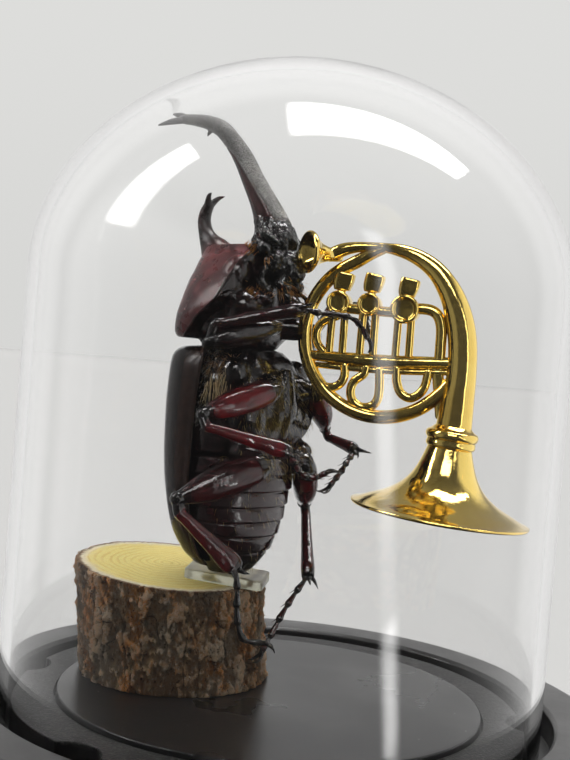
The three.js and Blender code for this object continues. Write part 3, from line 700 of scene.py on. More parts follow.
def make_french_horn(settings):
    gold = gold_material(settings)
    bend = [
        (1.2, 88.6, 1.15),
        (3.0, 89.5, 1.15),
        (4.6, 90.0, 1.0),
        (7.0, 90.3, 0.82),
        (10.2, 90.3, 0.82),
        (13.2, 89.9, 1.1),
        (16.0, 88.9, 1.35),
        (18.8, 87.0, 1.6),
        (21.2, 83.9, 1.9),
        (22.9, 80.2, 2.2),
        (23.9, 76.0, 2.33),
        (24.2, 71.0, 2.4),
        (23.9, 66.0, 2.68),
        (23.6, 61.4, 2.95),
    ]
    mouth = [(1.1, -1.6), (1.15, -0.4), (1.25, 0.8), (1.7, 2.0), (2.35, 2.9), (3.0, 3.45), (3.5, 3.9)]
    mouth += [(3.62, 4.25), (3.5, 4.6), (3.15, 4.72), (2.8, 4.5), (2.2, 3.9), (1.2, 2.9), (0.4, 2.2)]
    # The cup opens towards the beetle's mouth and a little to the front.
    cup, cup_faces = revolved((0, 0), math.radians(-90), rounded(mouth, 0.3, 3), 64)
    cup = (turned_to(cup, (1.5, 0, 88.7), CUP_TURN), cup_faces)
    collar = [(2.6, 3.2), (3.15, 2.6), (3.5, 2.3), (4.1, 2.0), (4.32, 1.4), (4.1, 0.8), (3.9, 0.6)]
    collar += [(3.95, 0.3), (4.05, -0.1), (3.85, -0.6), (3.3, -0.75)]
    ring = revolved((23.35, 59.4), math.radians(4.9), rounded(collar[::-1], 0.25, 3), 64)
    tube = object_of("gold_main_tube", *on_joined([pipe(bend, 40, 120), cup, ring]), gold)
    place(tube, "gold_plate", "french_horn_main_tube")

    flare = [(14.4, 0.0), (13.2, 0.35), (11.6, 1.1), (8.9, 2.35), (6.6, 4.1), (5.1, 6.2), (4.2, 8.4)]
    outer = resampled(flare + [(3.55, BELL_LENGTH)], 44)
    wall = [(max(r - 0.55, 2.6), z - 0.42) for r, z in outer[::-1]]
    rim = [(13.9, -0.5), (14.3, -0.42), (14.4, -0.2)]
    rows = [(2.0, BELL_LENGTH - 1.7)] + wall[3:-1] + rim
    rows += [tuple(row) for row in outer] + [(2.0, BELL_LENGTH)]
    bell = revolved((22.4, 48.4), math.atan2(0.9, 10.5), rows[::-1], 128)
    bell = object_of("gold_bell", *on_joined([bell]), gold)
    place(bell, "gold_plate", "french_horn_bell")

    (x, z), r = COIL_CENTRE, COIL_RADIUS
    turns = np.radians(np.linspace(114, 318, 13))
    coil = [(x + r * math.cos(t), z + r * math.sin(t), 1.15) for t in turns]
    coil = [(10.4, 90.2, 0.75), (8.0, 89.1, 0.95)] + coil + [(22.6, 69.4, 1.0)]
    parts = [pipe(coil, 24, 150)]
    parts.append(pipe([(-0.6, 71.9, 0.85), (5, 71.8, 1.05), (12, 71.8, 1.1), (22.6, 72.3, 1.0)], 24, 40))
    parts.append(pipe([(0.4, 70.4, 0.5), (6, 70.3, 0.55), (13, 70.3, 0.55), (22.6, 70.8, 0.5)], 16, 40))
    slides = [
        [(5.1, 70.6), (5.2, 69.0), (4.6, 67.6), (3.3, 66.9), (1.8, 67.0), (0.4, 67.7)],
        [(8.7, 70.6), (8.3, 69.4), (6.9, 68.2), (6.4, 66.6), (6.9, 65.0), (8.4, 64.1)],
        [(13.7, 70.8), (13.9, 68.6), (14.7, 66.9), (16.2, 66.2), (17.6, 66.9), (18.5, 68.3), (18.9, 70.6)],
    ]
    slides[1] += [(10.1, 64.4), (11, 65.7), (11.1, 67.8), (10.9, 70.4)]
    parts += [pipe(slide, 18, 60, 0.76) for slide in slides]
    # A thin web ties the coil to the bell branch.
    web = [(20.2, 0, 71.4, 0.45, 0.9), (20.9, 0, 67.5, 0.45, 1.0), (21.2, 0, 63.6, 0.45, 0.7)]
    parts.append(rod(web, 14, 20))
    coil = object_of("gold_coil", *on_joined(parts), gold)
    place(coil, "gold_plate", "french_horn_coil")

    parts = []
    for x, z, size, key in ((3.4, 80.8, 1.95, 4.0), (8.5, 80.8, 1.9, 9.0), (14.4, 80.4, 2.35, 14.8)):
        face = [(0.2, 1.25), (size * 0.66, 1.35), (size * 0.74, 1.62), (size * 0.86, 1.85)]
        face += [(size, 1.6), (size, -1.6), (size * 0.8, -1.8), (0.2, -1.7)]
        drum, faces = turned(rounded(face, 0.15, 3), 48)
        # Its axis runs through the horn's plane, so the drum's face looks to the front.
        drum = np.stack([drum[:, 0] + x, -drum[:, 2], drum[:, 1] + z], -1)
        parts.append((drum, [f[::-1] for f in faces][::-1]))
        parts.append(pipe([(x, z + 1.2, 0.75), (key - 0.1, z + 3.1, 0.7)], 14, 6))
        lever = [(key - 0.3, 0, z + 2.2, 1.0, 1.3), (key - 0.25, 0, z + 3.0, 1.1, 1.5)]
        lever += [(key, 0, z + 4.1, 1.15, 1.6), (key + 0.15, 0, z + 4.9, 1.1, 1.55)]
        parts.append(rod(lever, 32, 14, square=7.0, ends=(0.2, 0.2)))
        for shift in (-1.1, 1.1):
            foot = 72.4 + 0.02 * x
            parts.append(pipe([(x + shift * 0.95, z - 1.2, 0.66), (x + shift, foot, 0.66)], 18, 8))
    parts.append(pipe([(3.4, 80.0), (8.5, 79.9), (14.4, 79.8)], 16, 20, 0.85))
    elbow = [(14.8, 80.5), (17, 80.7), (18.7, 80.5), (19.8, 79.6), (20.4, 77.8), (20.5, 75.0), (20.5, 72.6)]
    parts.append(pipe(elbow, 20, 50, 0.92))
    hook = [(3.2, 78.6), (1.7, 78.0), (0.4, 77.0), (-0.1, 75.5), (0.3, 73.9), (1.5, 72.5)]
    parts.append(pipe(hook, 18, 40, 0.7))
    valves = object_of("gold_valves", *on_joined(parts), gold)
    place(valves, "gold_plate", "french_horn_valves")


def on_joined(parts):
    points, faces = joined(parts)
    return on_horn(points), faces


# ------------------------------------------------------------------ beetle body

# Height, back, side edge's place, side edge's half width and depth of the underside of the shield.
SHIELD = [
    (39.0, 9.2, -5.1, 9.6, 1.0),
    (40.0, 9.9, -3.4, 10.9, 1.4),
    (41.3, 10.2, -1.9, 11.5, 1.8),
    (42.8, 10.3, -0.6, 11.8, 2.0),
    (44.2, 10.3, 1.2, 11.9, 2.0),
    (45.7, 10.2, 2.6, 11.6, 1.8),
    (47.4, 10.0, 3.2, 10.9, 1.8),
    (49.0, 9.8, 3.4, 9.9, 1.9),
    (50.3, 9.5, 3.7, 8.9, 2.0),
    (51.7, 9.2, 3.9, 7.9, 2.0),
    (52.9, 9.0, 4.3, 6.9, 1.6),
    (53.7, 8.8, 4.6, 5.9, 1.0),
    (54.6, 8.4, 3.6, 5.2, 0.6),
    (55.3, 7.8, 2.4, 4.4, 0.3),
]


def off_beetle(points):
    """Row-frame points in the beetle's own frame."""
    c, s = math.cos(BEETLE_TURN), math.sin(BEETLE_TURN)
    return (np.asarray(points) - np.asarray(BEETLE_FOOT)) @ np.array([[c, -s, 0], [s, c, 0], [0, 0, 1]])


def trunk(rows, count=70, sides=96, square=2.2, caps=(1.2, 1.2), shape=None):
    """A body over rows of height, back, belly and half width, with rounded ends."""
    rows = resampled(rows, count)
    turn = np.linspace(0, 2 * math.pi, sides, endpoint=False)
    c, s = np.cos(turn), np.sin(turn)
    reach = (np.abs(c) ** square + np.abs(s) ** square) ** (-1 / square)
    steps = np.linspace(0, math.pi / 2, 8)[1:-1]
    low = [(rows[0][0] - caps[0] * math.sin(a), math.cos(a), rows[0]) for a in steps[::-1]]
    high = [(rows[-1][0] + caps[1] * math.sin(a), math.cos(a), rows[-1]) for a in steps]
    rings = []
    for z, scale, row in low + [(row[0], 1.0, row) for row in rows] + high:
        grown = scale * reach * (shape(z, turn) if shape else 1.0)
        x = np.where(c > 0, row[2], row[1]) * grown * c
        rings.append(np.stack([x, row[3] * grown * s, np.full(sides, z)], -1))
    return skin(rings)


def shield_skin():
    """The shield of the prothorax: a vaulted back, sharp side edges and a hollow underside."""
    rows = resampled(SHIELD, 110)
    turn = np.linspace(0, math.pi, 96)
    rings = []
    for index, (z, back, edge, half, under) in enumerate(rows):
        inset = 0.35 * max(0.0, 1 - index / 3) ** 2
        vault = edge - (edge + back - inset) * np.sin(turn) ** 0.86
        hollow = edge + under * np.sin(turn[::-1]) ** 1.5
        over = np.stack([vault, -(half - inset) * np.cos(turn), np.full(96, z)], -1)
        beneath = np.stack([hollow, -(half - inset) * np.cos(turn[::-1]), np.full(96, z)], -1)
        rings.append(np.vstack([over, beneath[1:-1]]))
    return skin(rings)


def side_edge(side):
    rows = resampled(SHIELD[:12], 60)
    return [(row[2], side * row[3], row[0]) for row in rows]


def back_material(settings):
    made = Finish("red-brown satin chitin", ior=1.5, sheen_weight=0.06, sheen_roughness=0.35)
    made.set("sheen_tint", (0.75, 0.7, 0.66))
    back, dark = made.attribute("back"), made.attribute("dark")
    cloud = made.noise(0.16, 3, 0.5)
    colour = settings.back_colour
    red = made.blend(made.between(cloud, 0.36, 0.64), colour, scaled(colour, 0.35))
    red = made.blend(made.between(made.noise(0.1, 2), 0.5, 0.7, 0, 0.7), red, (0.03, 0.026, 0.023))
    glossy = made.blend(made.noise(0.3, 2), (0.008, 0.005, 0.005), (0.022, 0.007, 0.006))
    tone = made.blend(back, glossy, made.blend(dark, red, (0.012, 0.011, 0.011)))
    grains = made.noise(7.0, 3, 0.7)
    made.set("base_color", made.blend(made.times(made.times(grains, back), 0.14), tone, (0.12, 0.09, 0.08)))
    soft = made.between(made.noise(0.5, 3, 0.6), 0.3, 0.7, 0.24, 0.36)
    made.set("roughness", made.mix(back, 0.1, soft))
    return made.bump((made.noise(0.7, 2), 0.05), (made.times(grains, back), 0.02))


def make_prothorax(settings):
    rows = [(38.6, 6.4, 5.6, 7.4), (41, 8.4, 6.9, 9.4), (45, 8.6, 6.8, 9.0)]
    rows += [(48.6, 8.4, 5.6, 7.8), (51, 8.2, 5.2, 6.9), (54.2, 6.6, 3.0, 4.8)]
    parts = [trunk(rows, 50, 80), shield_skin()]
    for side in (-1, 1):
        # Folds of the underside and the socket of the front leg.
        parts.append(blob((2.6, side * 6.6, 50.2), (2.6, 2.4, 3.4), (0.3, side * -0.5, 1)))
        parts.append(blob((4.4, side * 6.0, 44.4), (3.2, 3.2, 2.9), (1, side * 0.6, 0)))
        parts.append(blob((5.4, side * 4.0, 46.6), (2.0, 3.4, 1.6), (0.2, 0, 1)))
        socket = [(6.2, side * 3.0, 41.8, 1.9), (8.4, side * 4.2, 41.8, 1.85), (10.1, side * 5.1, 41.8, 1.3)]
        parts.append(rod(socket, 24, 16))
    horn = [
        (-6.0, 0.6, 52.4, 3.6, 3.0),
        (-7.2, 0.6, 54.2, 3.0, 2.9),
        (-8.9, 0.55, 56.2, 1.8, 1.9),
        (-9.9, 0.5, 57.9, 1.3, 1.35),
        (-10.45, 0.5, 59.8, 1.15, 1.2),
        (-10.35, 0.6, 61.4, 1.15, 1.05),
        (-9.8, 0.65, 62.7, 1.05, 0.85),
    ]
    parts.append(rod(horn, 28, 50))
    for side in (-1, 1):
        prong = [(-10.0, 0.65, 62.2, 0.75), (-9.5, 0.65 + side * 0.75, 63.3, 0.6)]
        prong += [(-8.8, 0.65 + side * 1.45, 64.2, 0.4), (-8.0, 0.65 + side * 1.9, 64.55, 0.16)]
        parts.append(rod(prong, 16, 20))
    made = fused("shield", [(on_beetle(p), f) for p, f in parts], 0.17, 5, back_material(settings))
    own = off_beetle(points_of(made))
    table = np.array(SHIELD)
    edge = np.interp(own[:, 2], table[:, 0], table[:, 2])
    back = ramp_of(edge - own[:, 0], -0.1, 0.25) * ramp_of(own[:, 2], 38.8, 39.2)
    paint(made, "back", np.maximum(back, ramp_of(own[:, 2], 54.6, 55.4)))
    near_horn = np.array([(-9.0, 0.5, 56.5), (-10.3, 0.5, 60), (-9.4, 0.6, 63.5), (-6.5, 0.5, 54.5)])
    dark = sum(swell(own, p, 2.1) for p in near_horn)
    low = ramp_of(own[:, 2], 43.5, 39.5) * 0.35
    paint(made, "dark", np.clip(dark + low, 0, 1))
    place(made, "back_chitin", "prothorax")
    # A fine raised rim runs along both side edges.
    rims = []
    for side in (-1, 1):
        edge = [(x - 0.02, y + side * 0.03, z, 0.17) for x, y, z in side_edge(side)[2:]]
        rims.append(rod(edge, 8, 90))
    points, faces = joined(rims)
    rim = object_of("shield_rim", on_beetle(points), faces, made.data.materials[0])
    paint(rim, "back", np.full(len(points), 0.4))
    paint(rim, "dark", np.full(len(points), 0.6))
    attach(rim, "root")


def belly_material(settings):
    made = Finish("glossy dark belly chitin", ior=1.56)
    low = made.attribute("lower")
    wine = made.blend(made.noise(0.3, 2), settings.belly_colour, scaled(settings.belly_colour, 0.35))
    black = made.blend(made.noise(0.4, 2), (0.006, 0.005, 0.005), (0.014, 0.008, 0.007))
    made.set("base_color", made.blend(low, black, wine))
    made.set("roughness", made.between(made.noise(0.6, 3, 0.6), 0.3, 0.75, 0.08, 0.2))
    long = made.stretched(made.place, (0.5, 0.5, 2.6))
    return made.bump((made.noise(0.45, 2), 0.07), (made.noise(0.6, 2, 0.5, long), 0.045))


ABDOMEN = [
    (0.4, 2.0, 4.0, 3.4),
    (1.6, 2.6, 5.4, 4.4),
    (4.4, 4.6, 7.2, 7.3),
    (8.4, 6.7, 8.3, 9.7),
    (12.8, 7.6, 8.9, 11.0),
    (17.0, 8.6, 9.6, 11.6),
    (20.2, 8.8, 9.4, 11.6),
]
RING_HEIGHTS = (0.2, 4.4, 7.0, 9.5, 12.0, 14.6, 17.4, 20.4)


def ring_step(height, turn):
    """Each ring of the abdomen overlaps the next one towards the tip."""
    index = int(np.searchsorted(RING_HEIGHTS, height)) - 1
    index = min(max(index, 0), len(RING_HEIGHTS) - 2)
    low, high = RING_HEIGHTS[index : index + 2]
    share = min(max((height - low) / (high - low), 0), 1)
    lip = 0.035 * (1 - share) ** 1.5 * float(ramp_of(share, -0.02, 0.07))
    lip -= 0.03 * float(ramp_of(share, 0.8, 1.0))
    return 1 + lip * np.where(np.cos(turn) > -0.2, 1.0, 0.3)


def make_abdomen(settings):
    belly = belly_material(settings)
    own, faces = trunk(ABDOMEN, 150, 128, 2.15, (0.4, 0.1), ring_step)
    made = object_of("belly_rings", on_beetle(own), faces, belly)
    paint(made, "lower", ramp_of(own[:, 2], 2.0, 7.0) * ramp_of(own[:, 0], 0.0, 4.0))
    place(made, "belly_chitin", "abdomen")


def make_thorax(settings):
    """Middle and hind chest plates with the sockets of the legs."""
    rows = [
        (20.9, 8.8, 8.6, 11.5),
        (23.5, 9.6, 9.9, 11.9),
        (28.0, 9.8, 11.3, 11.8),
        (33.0, 9.8, 9.9, 11.0),
        (36.0, 8.8, 8.2, 9.6),
        (37.6, 6.4, 6.8, 7.6),
    ]
    parts = [trunk(rows, 70, 96, 2.3, (0.4, 0.7))]
    # Keel of the middle chest, then the plates on both sides.
    keel = [(9.6, 0, 24.0, 1.6, 0.9), (11.0, 0, 28.5, 1.9, 0.8), (9.8, 0, 34.4, 1.2, 0.8)]
    parts.append(rod(keel, 20, 30))
    for side in (-1, 1):
        for socket in (
            [(7.0, side * 3.5, 31.8, 2.3), (9.6, side * 4.7, 31.8, 2.2), (11.2, side * 5.4, 31.8, 1.4)],
            [(6.8, side * 3.8, 19.9, 2.6), (9.2, side * 5.0, 19.8, 2.4), (10.9, side * 6.0, 19.7, 1.5)],
        ):
            parts.append(rod(socket, 28, 16))
        parts.append(blob((7.4, side * 6.6, 27.6), (2.9, 4.2, 5.2), (0, side * 0.25, 1), 28, 18))
        parts.append(blob((6.9, side * 6.4, 21.6), (3.0, 4.6, 2.2), (0.1, 0, 1), 28, 14))
        parts.append(blob((5.4, side * 8.6, 33.8), (2.6, 2.4, 2.8), (0, 0, 1), 24, 14))
        parts.append(blob((2.4, side * 10.2, 30.0), (1.4, 1.5, 5.0), (0, side * -0.08, 1), 20, 14))
    made = fused("chest", [(on_beetle(p), f) for p, f in parts], 0.2, 4, belly_material(settings))
    own = off_beetle(points_of(made))
    paint(made, "lower", ramp_of(own[:, 2], 27.0, 23.0) * 0.4)
    place(made, "belly_chitin", "thorax")


WING_CASE = [
    (1.5, 4.6, 5.6),
    (2.4, 5.4, 6.9),
    (4.0, 6.6, 8.7),
    (8.0, 8.5, 11.2),
    (14.0, 9.6, 12.9),
    (20.0, 10.6, 13.3),
    (27.5, 11.2, 13.15),
    (32.0, 11.4, 12.7),
    (35.2, 11.3, 12.2),
    (36.7, 10.8, 11.5),
    (37.55, 9.7, 10.2),
    (37.9, 7.9, 8.3),
]


def wing_case_material(settings):
    made = Finish("polished black-brown chitin", ior=1.5, specular_ior_level=0.2)
    side = made.attribute("flank")
    tone = made.blend(made.noise(0.25, 3), settings.wing_colour, scaled(settings.wing_colour, 0.4))
    rusty = made.blend(made.noise(1.0, 3), (0.035, 0.016, 0.011), (0.012, 0.007, 0.005))
    made.set("base_color", made.blend(side, tone, rusty))
    smear = made.between(made.noise(0.3, 4, 0.6), 0.35, 0.7, 0.05, 0.1)
    made.set("roughness", made.mix(side, smear, 0.2))
    return made.bump((made.noise(0.16, 2, 0.4), 0.07), (made.times(made.noise(3.5, 3), side), 0.04))


def make_wing_case(name, side, material):
    """A vaulted shell from the seam down the back to a thickened rim over the flank."""
    rows = resampled(WING_CASE, 110)
    steps = 64
    share = np.linspace(0, 1, steps)
    turn = np.radians(1.0 + 95.5 * share)
    # A flat groove runs inside the rim, and the seam's edge is eased.
    seam = np.exp(-((share / 0.012) ** 2))
    relief = 0.1 * np.exp(-(((share - 0.985) / 0.018) ** 2)) - 0.06 * np.exp(-(((share - 0.935) / 0.02) ** 2))
    relief = relief - 0.25 * seam
    wall = 0.8 - 0.35 * np.exp(-(((share - 1) / 0.02) ** 2)) - 0.2 * seam
    rings, flank = [], []
    for z, back, half in rows:
        outer, inner = (
            np.stack([-(back + by) * np.cos(turn), side * (half + by) * np.sin(turn), np.full(steps, z)], -1)
            for by in (relief, -wall)
        )
        rings.append(np.vstack([outer, inner[::-1]]))
        flank += list(ramp_of(share, 0.76, 0.83)) + [0] * steps
    for index, scale in ((0, 0.4), (1, 0.15), (-1, 0.4), (-2, 0.15)):
        ring = rings[index]
        middle = (ring[:steps] + ring[: steps - 1 : -1]) / 2
        middle = np.vstack([middle, middle[::-1]])
        rings[index] = ring + (middle - ring) * scale
    points, faces = skin(rings)
    # The end fans would cut across the shell, so each end is closed as a strip between its walls.
    faces = faces[: -2 * 2 * steps]
    for ring, flip in ((0, False), (len(rings) - 1, True)):
        for i in range(steps - 1):
            a, b = ring * 2 * steps + i, ring * 2 * steps + 2 * steps - 1 - i
            strip = [a, a + 1, b - 1, b]
            faces.append(strip[::-1] if flip else strip)
    points = points[:-2]
    if volume(points, faces) < 0:
        faces = [face[::-1] for face in faces]
    made = object_of(f"{name}_shell", on_beetle(points), faces, material)
    paint(made, "flank", flank)
    place(made, "wing_case_chitin", name)


# ------------------------------------------------------------------ beetle head

HEAD_HORN = [
    (4.6, 0.8, 56.8, 4.0, 3.7),
    (4.0, 0.5, 59.4, 3.2, 3.0),
    (2.6, -0.3, 62.8, 2.4, 2.35),
    (0.9, -1.3, 66.3, 2.05, 1.95),
    (-0.8, -2.2, 69.9, 1.85, 1.75),
    (-2.4, -3.3, 72.6, 1.75, 1.55),
    (-4.3, -4.4, 74.9, 1.6, 1.45),
    (-6.4, -5.6, 75.95, 1.4, 1.25),
    (-8.3, -6.7, 76.3, 1.3, 1.05),
    (-9.9, -7.7, 76.4, 1.2, 0.9),
]
FORK = (-9.5, -7.5, 76.4)
PRONG_TIPS = ((-13.0, -11.1, 74.9), (-12.6, -8.2, 77.6))


def horn_material():
    made = Finish("horn chitin", ior=1.56, sheen_weight=0.2, sheen_roughness=0.4)
    made.set("sheen_tint", (0.8, 0.8, 0.78))
    velvet, rough_face = made.attribute("velvet"), made.attribute("rough_face")
    bloom = made.between(made.noise(6.0, 4, 0.8), 0.4, 0.58)
    shade = made.between(made.noise(0.3, 2), 0.35, 0.65, 0.45, 1.0)
    shade = made.times(shade, made.attribute("silver"))
    grey = made.blend(made.times(bloom, shade), (0.035, 0.03, 0.028), (0.85, 0.83, 0.79))
    maroon = made.blend(made.noise(0.3, 2), (0.06, 0.010, 0.010), (0.02, 0.007, 0.006))
    tone = made.blend(velvet, maroon, grey)
    made.set("base_color", made.blend(rough_face, tone, (0.008, 0.007, 0.006)))
    made.set("roughness", made.mix(rough_face, made.mix(velvet, 0.14, 0.4), 0.08))
    lumps = made.times(made.noise(0.9, 2, 0.5), made.sum(rough_face, 0.1))
    return made.bump((lumps, 0.3), (made.times(made.noise(5.0, 3, 0.7), velvet), 0.06))


def make_head():
    def ridged(t, turn):
        """Low keels along the horn's two flanks."""
        keels = np.exp(-((np.abs(np.sin(turn)) / 0.28) ** 2))
        return 1 + 0.07 * keels * np.sin(math.pi * np.clip(t * 1.1, 0, 1))

    view_side = (-0.5, 0.85, 0)
    parts = [rod(HEAD_HORN, 32, 110, view_side, 2.2, shape=ridged)]
    for tip in PRONG_TIPS:
        middle = [0.5 * (a + b) for a, b in zip(FORK, tip)]
        middle[2] += 0.15
        parts.append(rod([(*FORK, 0.8, 0.75), (*middle, 0.68, 0.6), (*tip, 0.24, 0.2)], 18, 26))
    tooth = [(-6.1, -5.2, 74.8, 0.5), (-6.4, -5.4, 74.0, 0.3), (-6.5, -5.5, 73.6, 0.12)]
    parts.append(rod(tooth, 10, 8))
    parts.append(blob((5.3, 0, 55.8), (3.5, 4.2, 4.3), (0.15, 0, 1), 32, 20))
    parts.append(blob((7.3, 0, 51.8), (2.9, 3.7, 3.6), (-0.35, 0, 1), 32, 20))
    parts.append(blob((9.0, 0, 50.2), (1.7, 2.7, 1.6), (-0.3, 0, 1), 28, 16))
    for side in (-1, 1):
        # Brow over the eye, cheek, jaw, feeler club and palps.
        brow = [(4.6, side * 3.6, 57.4, 0.9), (6.6, side * 4.3, 56.6, 0.8), (8.2, side * 3.6, 55.4, 0.6)]
        parts.append(rod(brow, 14, 16))
        parts.append(blob((7.4, side * 3.1, 52.6), (1.7, 1.4, 1.9), (0, 0, 1)))
        parts.append(blob((9.0, side * 1.9, 48.8), (1.5, 1.2, 1.4), (0.5, 0, -1)))
        club = [(6.6, side * 4.1, 51.2, 0.5), (6.3, side * 4.5, 49.8, 0.45)]
        club += [(6.9, side * 4.7, 48.6, 0.75), (7.9, side * 4.6, 47.7, 0.6)]
        parts.append(rod(club, 14, 22))
        palp = [(8.8, side * 1.6, 48.2, 0.42), (9.9, side * 2.3, 47.5, 0.3)]
        palp += [(10.6, side * 2.7, 46.9, 0.46), (10.9, side * 2.6, 46.0, 0.3)]
        parts.append(rod(palp, 12, 20))
    made = fused("crowned_head", [(on_beetle(p), f) for p, f in parts], 0.14, 4, horn_material())
    own = off_beetle(points_of(made))
    spine = resampled(HEAD_HORN, 60)
    gaps = np.linalg.norm(own[:, None, :] - spine[None, :, :3], axis=2)
    nearest = spine[gaps.argmin(1), :3]
    out = own - nearest
    out /= np.maximum(np.linalg.norm(out, axis=1), 1e-6)[:, None]
    away = nearest - np.array([-13.0, -4.0, 61.0])
    away /= np.linalg.norm(away, axis=1)[:, None]
    outer = (out * away).sum(1)
    on_horn_part = ramp_of(own[:, 2], 59.0, 60.8)
    # The smooth red-brown inner face is half as wide as the horn at its foot and ends below the bend.
    limit = np.interp(own[:, 2], (59, 62, 66, 70, 73), (0.45, 0.4, 0.05, -0.4, -1.2))
    velvet = ramp_of(outer - limit, -0.12, 0.1) * on_horn_part
    groove = np.exp(-(((outer - limit) / 0.09) ** 2)) * on_horn_part * (own[:, 2] < 72)
    move_points(made, points_of(made) - normals_of(made) * (0.16 * groove)[:, None])
    paint(made, "velvet", velvet)
    silver = np.interp(own[:, 2], (60, 67, 73, 77), (1.0, 0.8, 0.45, 0.35))
    paint(made, "silver", silver * ramp_of(own[:, 0], -12.5, -7.5))
    paint(made, "rough_face", 1 - on_horn_part)
    lumps = np.array([rough(p, 0.9, 3) for p in own]) * (1 - on_horn_part)
    move_points(made, points_of(made) + normals_of(made) * (0.16 * lumps)[:, None])
    place(made, "horn_chitin", "head")

    wet = Finish("compound eye", ior=1.56, roughness=0.12)
    wet.set("base_color", (0.006, 0.005, 0.005))
    facets = wet.bump((wet.cells(6.0), 0.02))
    eyes = [blob((6.2, side * 4.05, 54.7), (1.4, 1.3, 1.45), (0, 0, 1), 40, 24) for side in (-1, 1)]
    points, faces = joined(eyes)
    eye = object_of("eyes", on_beetle(points), faces, facets)
    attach(eye, "root")


# ------------------------------------------------------------------ beetle legs

# Places in the beetle's own frame, sizes, and how red the thigh, the shin and the foot are.
LEGS = {
    "right_front": dict(
        hip=(10.4, -5.2, 41.8), knee=(4.9, -14.9, 38.4), shin=(5.4, -15.0, 41.2), ankle=(15.8, -6.0, 44.8),
        foot=((17.6, -3.6, 44.4), (19.8, -1.6, 44.4), (22.0, 0.4, 43.6), (23.6, 1.6, 41.0)),
        thigh=2.1, calf=1.25, red=(0.1, 0.3, 0.1), knee_depth=2.0,
    ),
    "left_front": dict(
        hip=(10.4, 5.2, 41.8), knee=(4.4, 14.8, 38.6), shin=(4.8, 14.8, 41.4), ankle=(12.4, 9.4, 46.4),
        foot=((14.2, 9.8, 46.8), (16.2, 10.2, 46.6), (18.0, 10.0, 45.0), (18.8, 9.6, 42.8)),
        thigh=2.1, calf=1.25, red=(0.1, 0.3, 0.1), knee_depth=2.0,
    ),
    "right_middle": dict(
        hip=(11.8, -5.6, 31.8), knee=(5.9, -16.8, 27.2), shin=(6.7, -16.9, 25.4), ankle=(16.8, -8.5, 22.4),
        foot=((17.6, -7.4, 20.2), (18.4, -6.5, 19.0), (19.8, -5.2, 18.6), (21.1, -3.8, 19.4)),
        thigh=2.3, calf=1.15, red=(1.0, 1.1, 0.35),
    ),
    "left_middle": dict(
        hip=(11.8, 5.6, 32.0), knee=(8.7, 15.2, 25.2), shin=(9.0, 15.8, 23.6), ankle=(15.4, 15.0, 22.0),
        foot=((14.9, 12.6, 19.4), (14.4, 12.6, 18.4), (13.8, 11.8, 17.0), (13.2, 10.9, 15.6)),
        thigh=2.3, calf=1.15, red=(0.6, 0.7, 0.4),
    ),
    "right_hind": dict(
        hip=(11.2, -6.2, 19.8), knee=(3.4, -18.2, 13.8), shin=(3.9, -18.3, 11.8), ankle=(11.0, -12.0, 3.6),
        foot=((11.3, -11.6, 0.0), (11.3, -11.1, -4.0), (12.0, -10.0, -7.6), (14.4, -8.0, -8.2)),
        thigh=2.75, calf=1.4, red=(0.35, 0.75, 0.0),
    ),
    "left_hind": dict(
        hip=(11.4, 5.6, 19.2), knee=(5.4, 15.6, 11.6), shin=(5.8, 15.7, 9.6), ankle=(11.4, 9.0, 0.0),
        foot=((10.6, 6.6, -2.8), (10.0, 4.0, -6.0), (9.4, 2.0, -9.4), (8.6, 0.6, -12.4)),
        thigh=2.75, calf=1.4, red=(0.5, 0.7, 0.4),
    ),
}
# Rows of a place along the bar, its depth and its thickness, in shares of the leg's size.
THIGH_ROWS = (
    (0, 0.72, 0.58),
    (0.07, 0.88, 0.68),
    (0.22, 1.0, 0.78),
    (0.42, 1.05, 0.82),
    (0.64, 0.93, 0.75),
    (0.84, 0.64, 0.6),
    (0.95, 0.46, 0.48),
    (1, 0.44, 0.46),
)
SHIN_ROWS = (
    (0.02, 0.72, 0.62),
    (0.12, 0.7, 0.64),
    (0.35, 0.84, 0.7),
    (0.65, 1.02, 0.78),
    (0.88, 1.25, 0.88),
    (1, 1.0, 0.8),
)
# Rows of how far a claw stands outwards, forwards and down, and its thickness.
CLAW_ROWS = (
    (0.1, -0.3, 0, 0.32),
    (0.5, 0.5, -0.05, 0.3),
    (0.85, 1.1, 0.1, 0.25),
    (1.0, 1.7, 0.45, 0.18),
    (1.0, 2.0, 1.0, 0.08),
)


def leg_material(name, settings, dark):
    """Polished chitin that goes from red on the bars to black at the joints."""
    made = Finish(name, ior=1.56)
    cloud = made.between(made.noise(0.22, 2), 0.35, 0.65, 0.55, 1.0)
    bar = made.blend(made.times(made.attribute("red"), cloud), (0.012, 0.008, 0.008), settings.leg_colour)
    made.set("base_color", made.blend(made.attribute("joint"), bar, dark))
    made.set("roughness", made.between(made.noise(0.7, 3, 0.6), 0.3, 0.75, 0.06, 0.14))
    long = made.stretched(made.place, (1.6, 1.6, 0.6))
    return made.bump((made.noise(0.6, 2, 0.5, long), 0.06), (made.noise(2.4, 2), 0.006))


def redness(made, leg, amount):
    """The bars are reddest on their lower side and blackest on top."""
    across, axis = leg_plane(leg), np.asarray(leg["knee"], float) - np.asarray(leg["hip"], float)
    up = np.cross(across, axis / np.linalg.norm(axis))
    up *= np.sign(up[2])
    normals = normals_of(made) @ np.array([local_direction(v) for v in np.eye(3)]).T
    share = 0.75 - 0.45 * (normals @ up)
    paint(made, "red", np.clip(amount * share, 0, 1))


def towards(a, b, distance):
    a, b = np.asarray(a, float), np.asarray(b, float)
    return a + (b - a) * distance / np.linalg.norm(b - a)


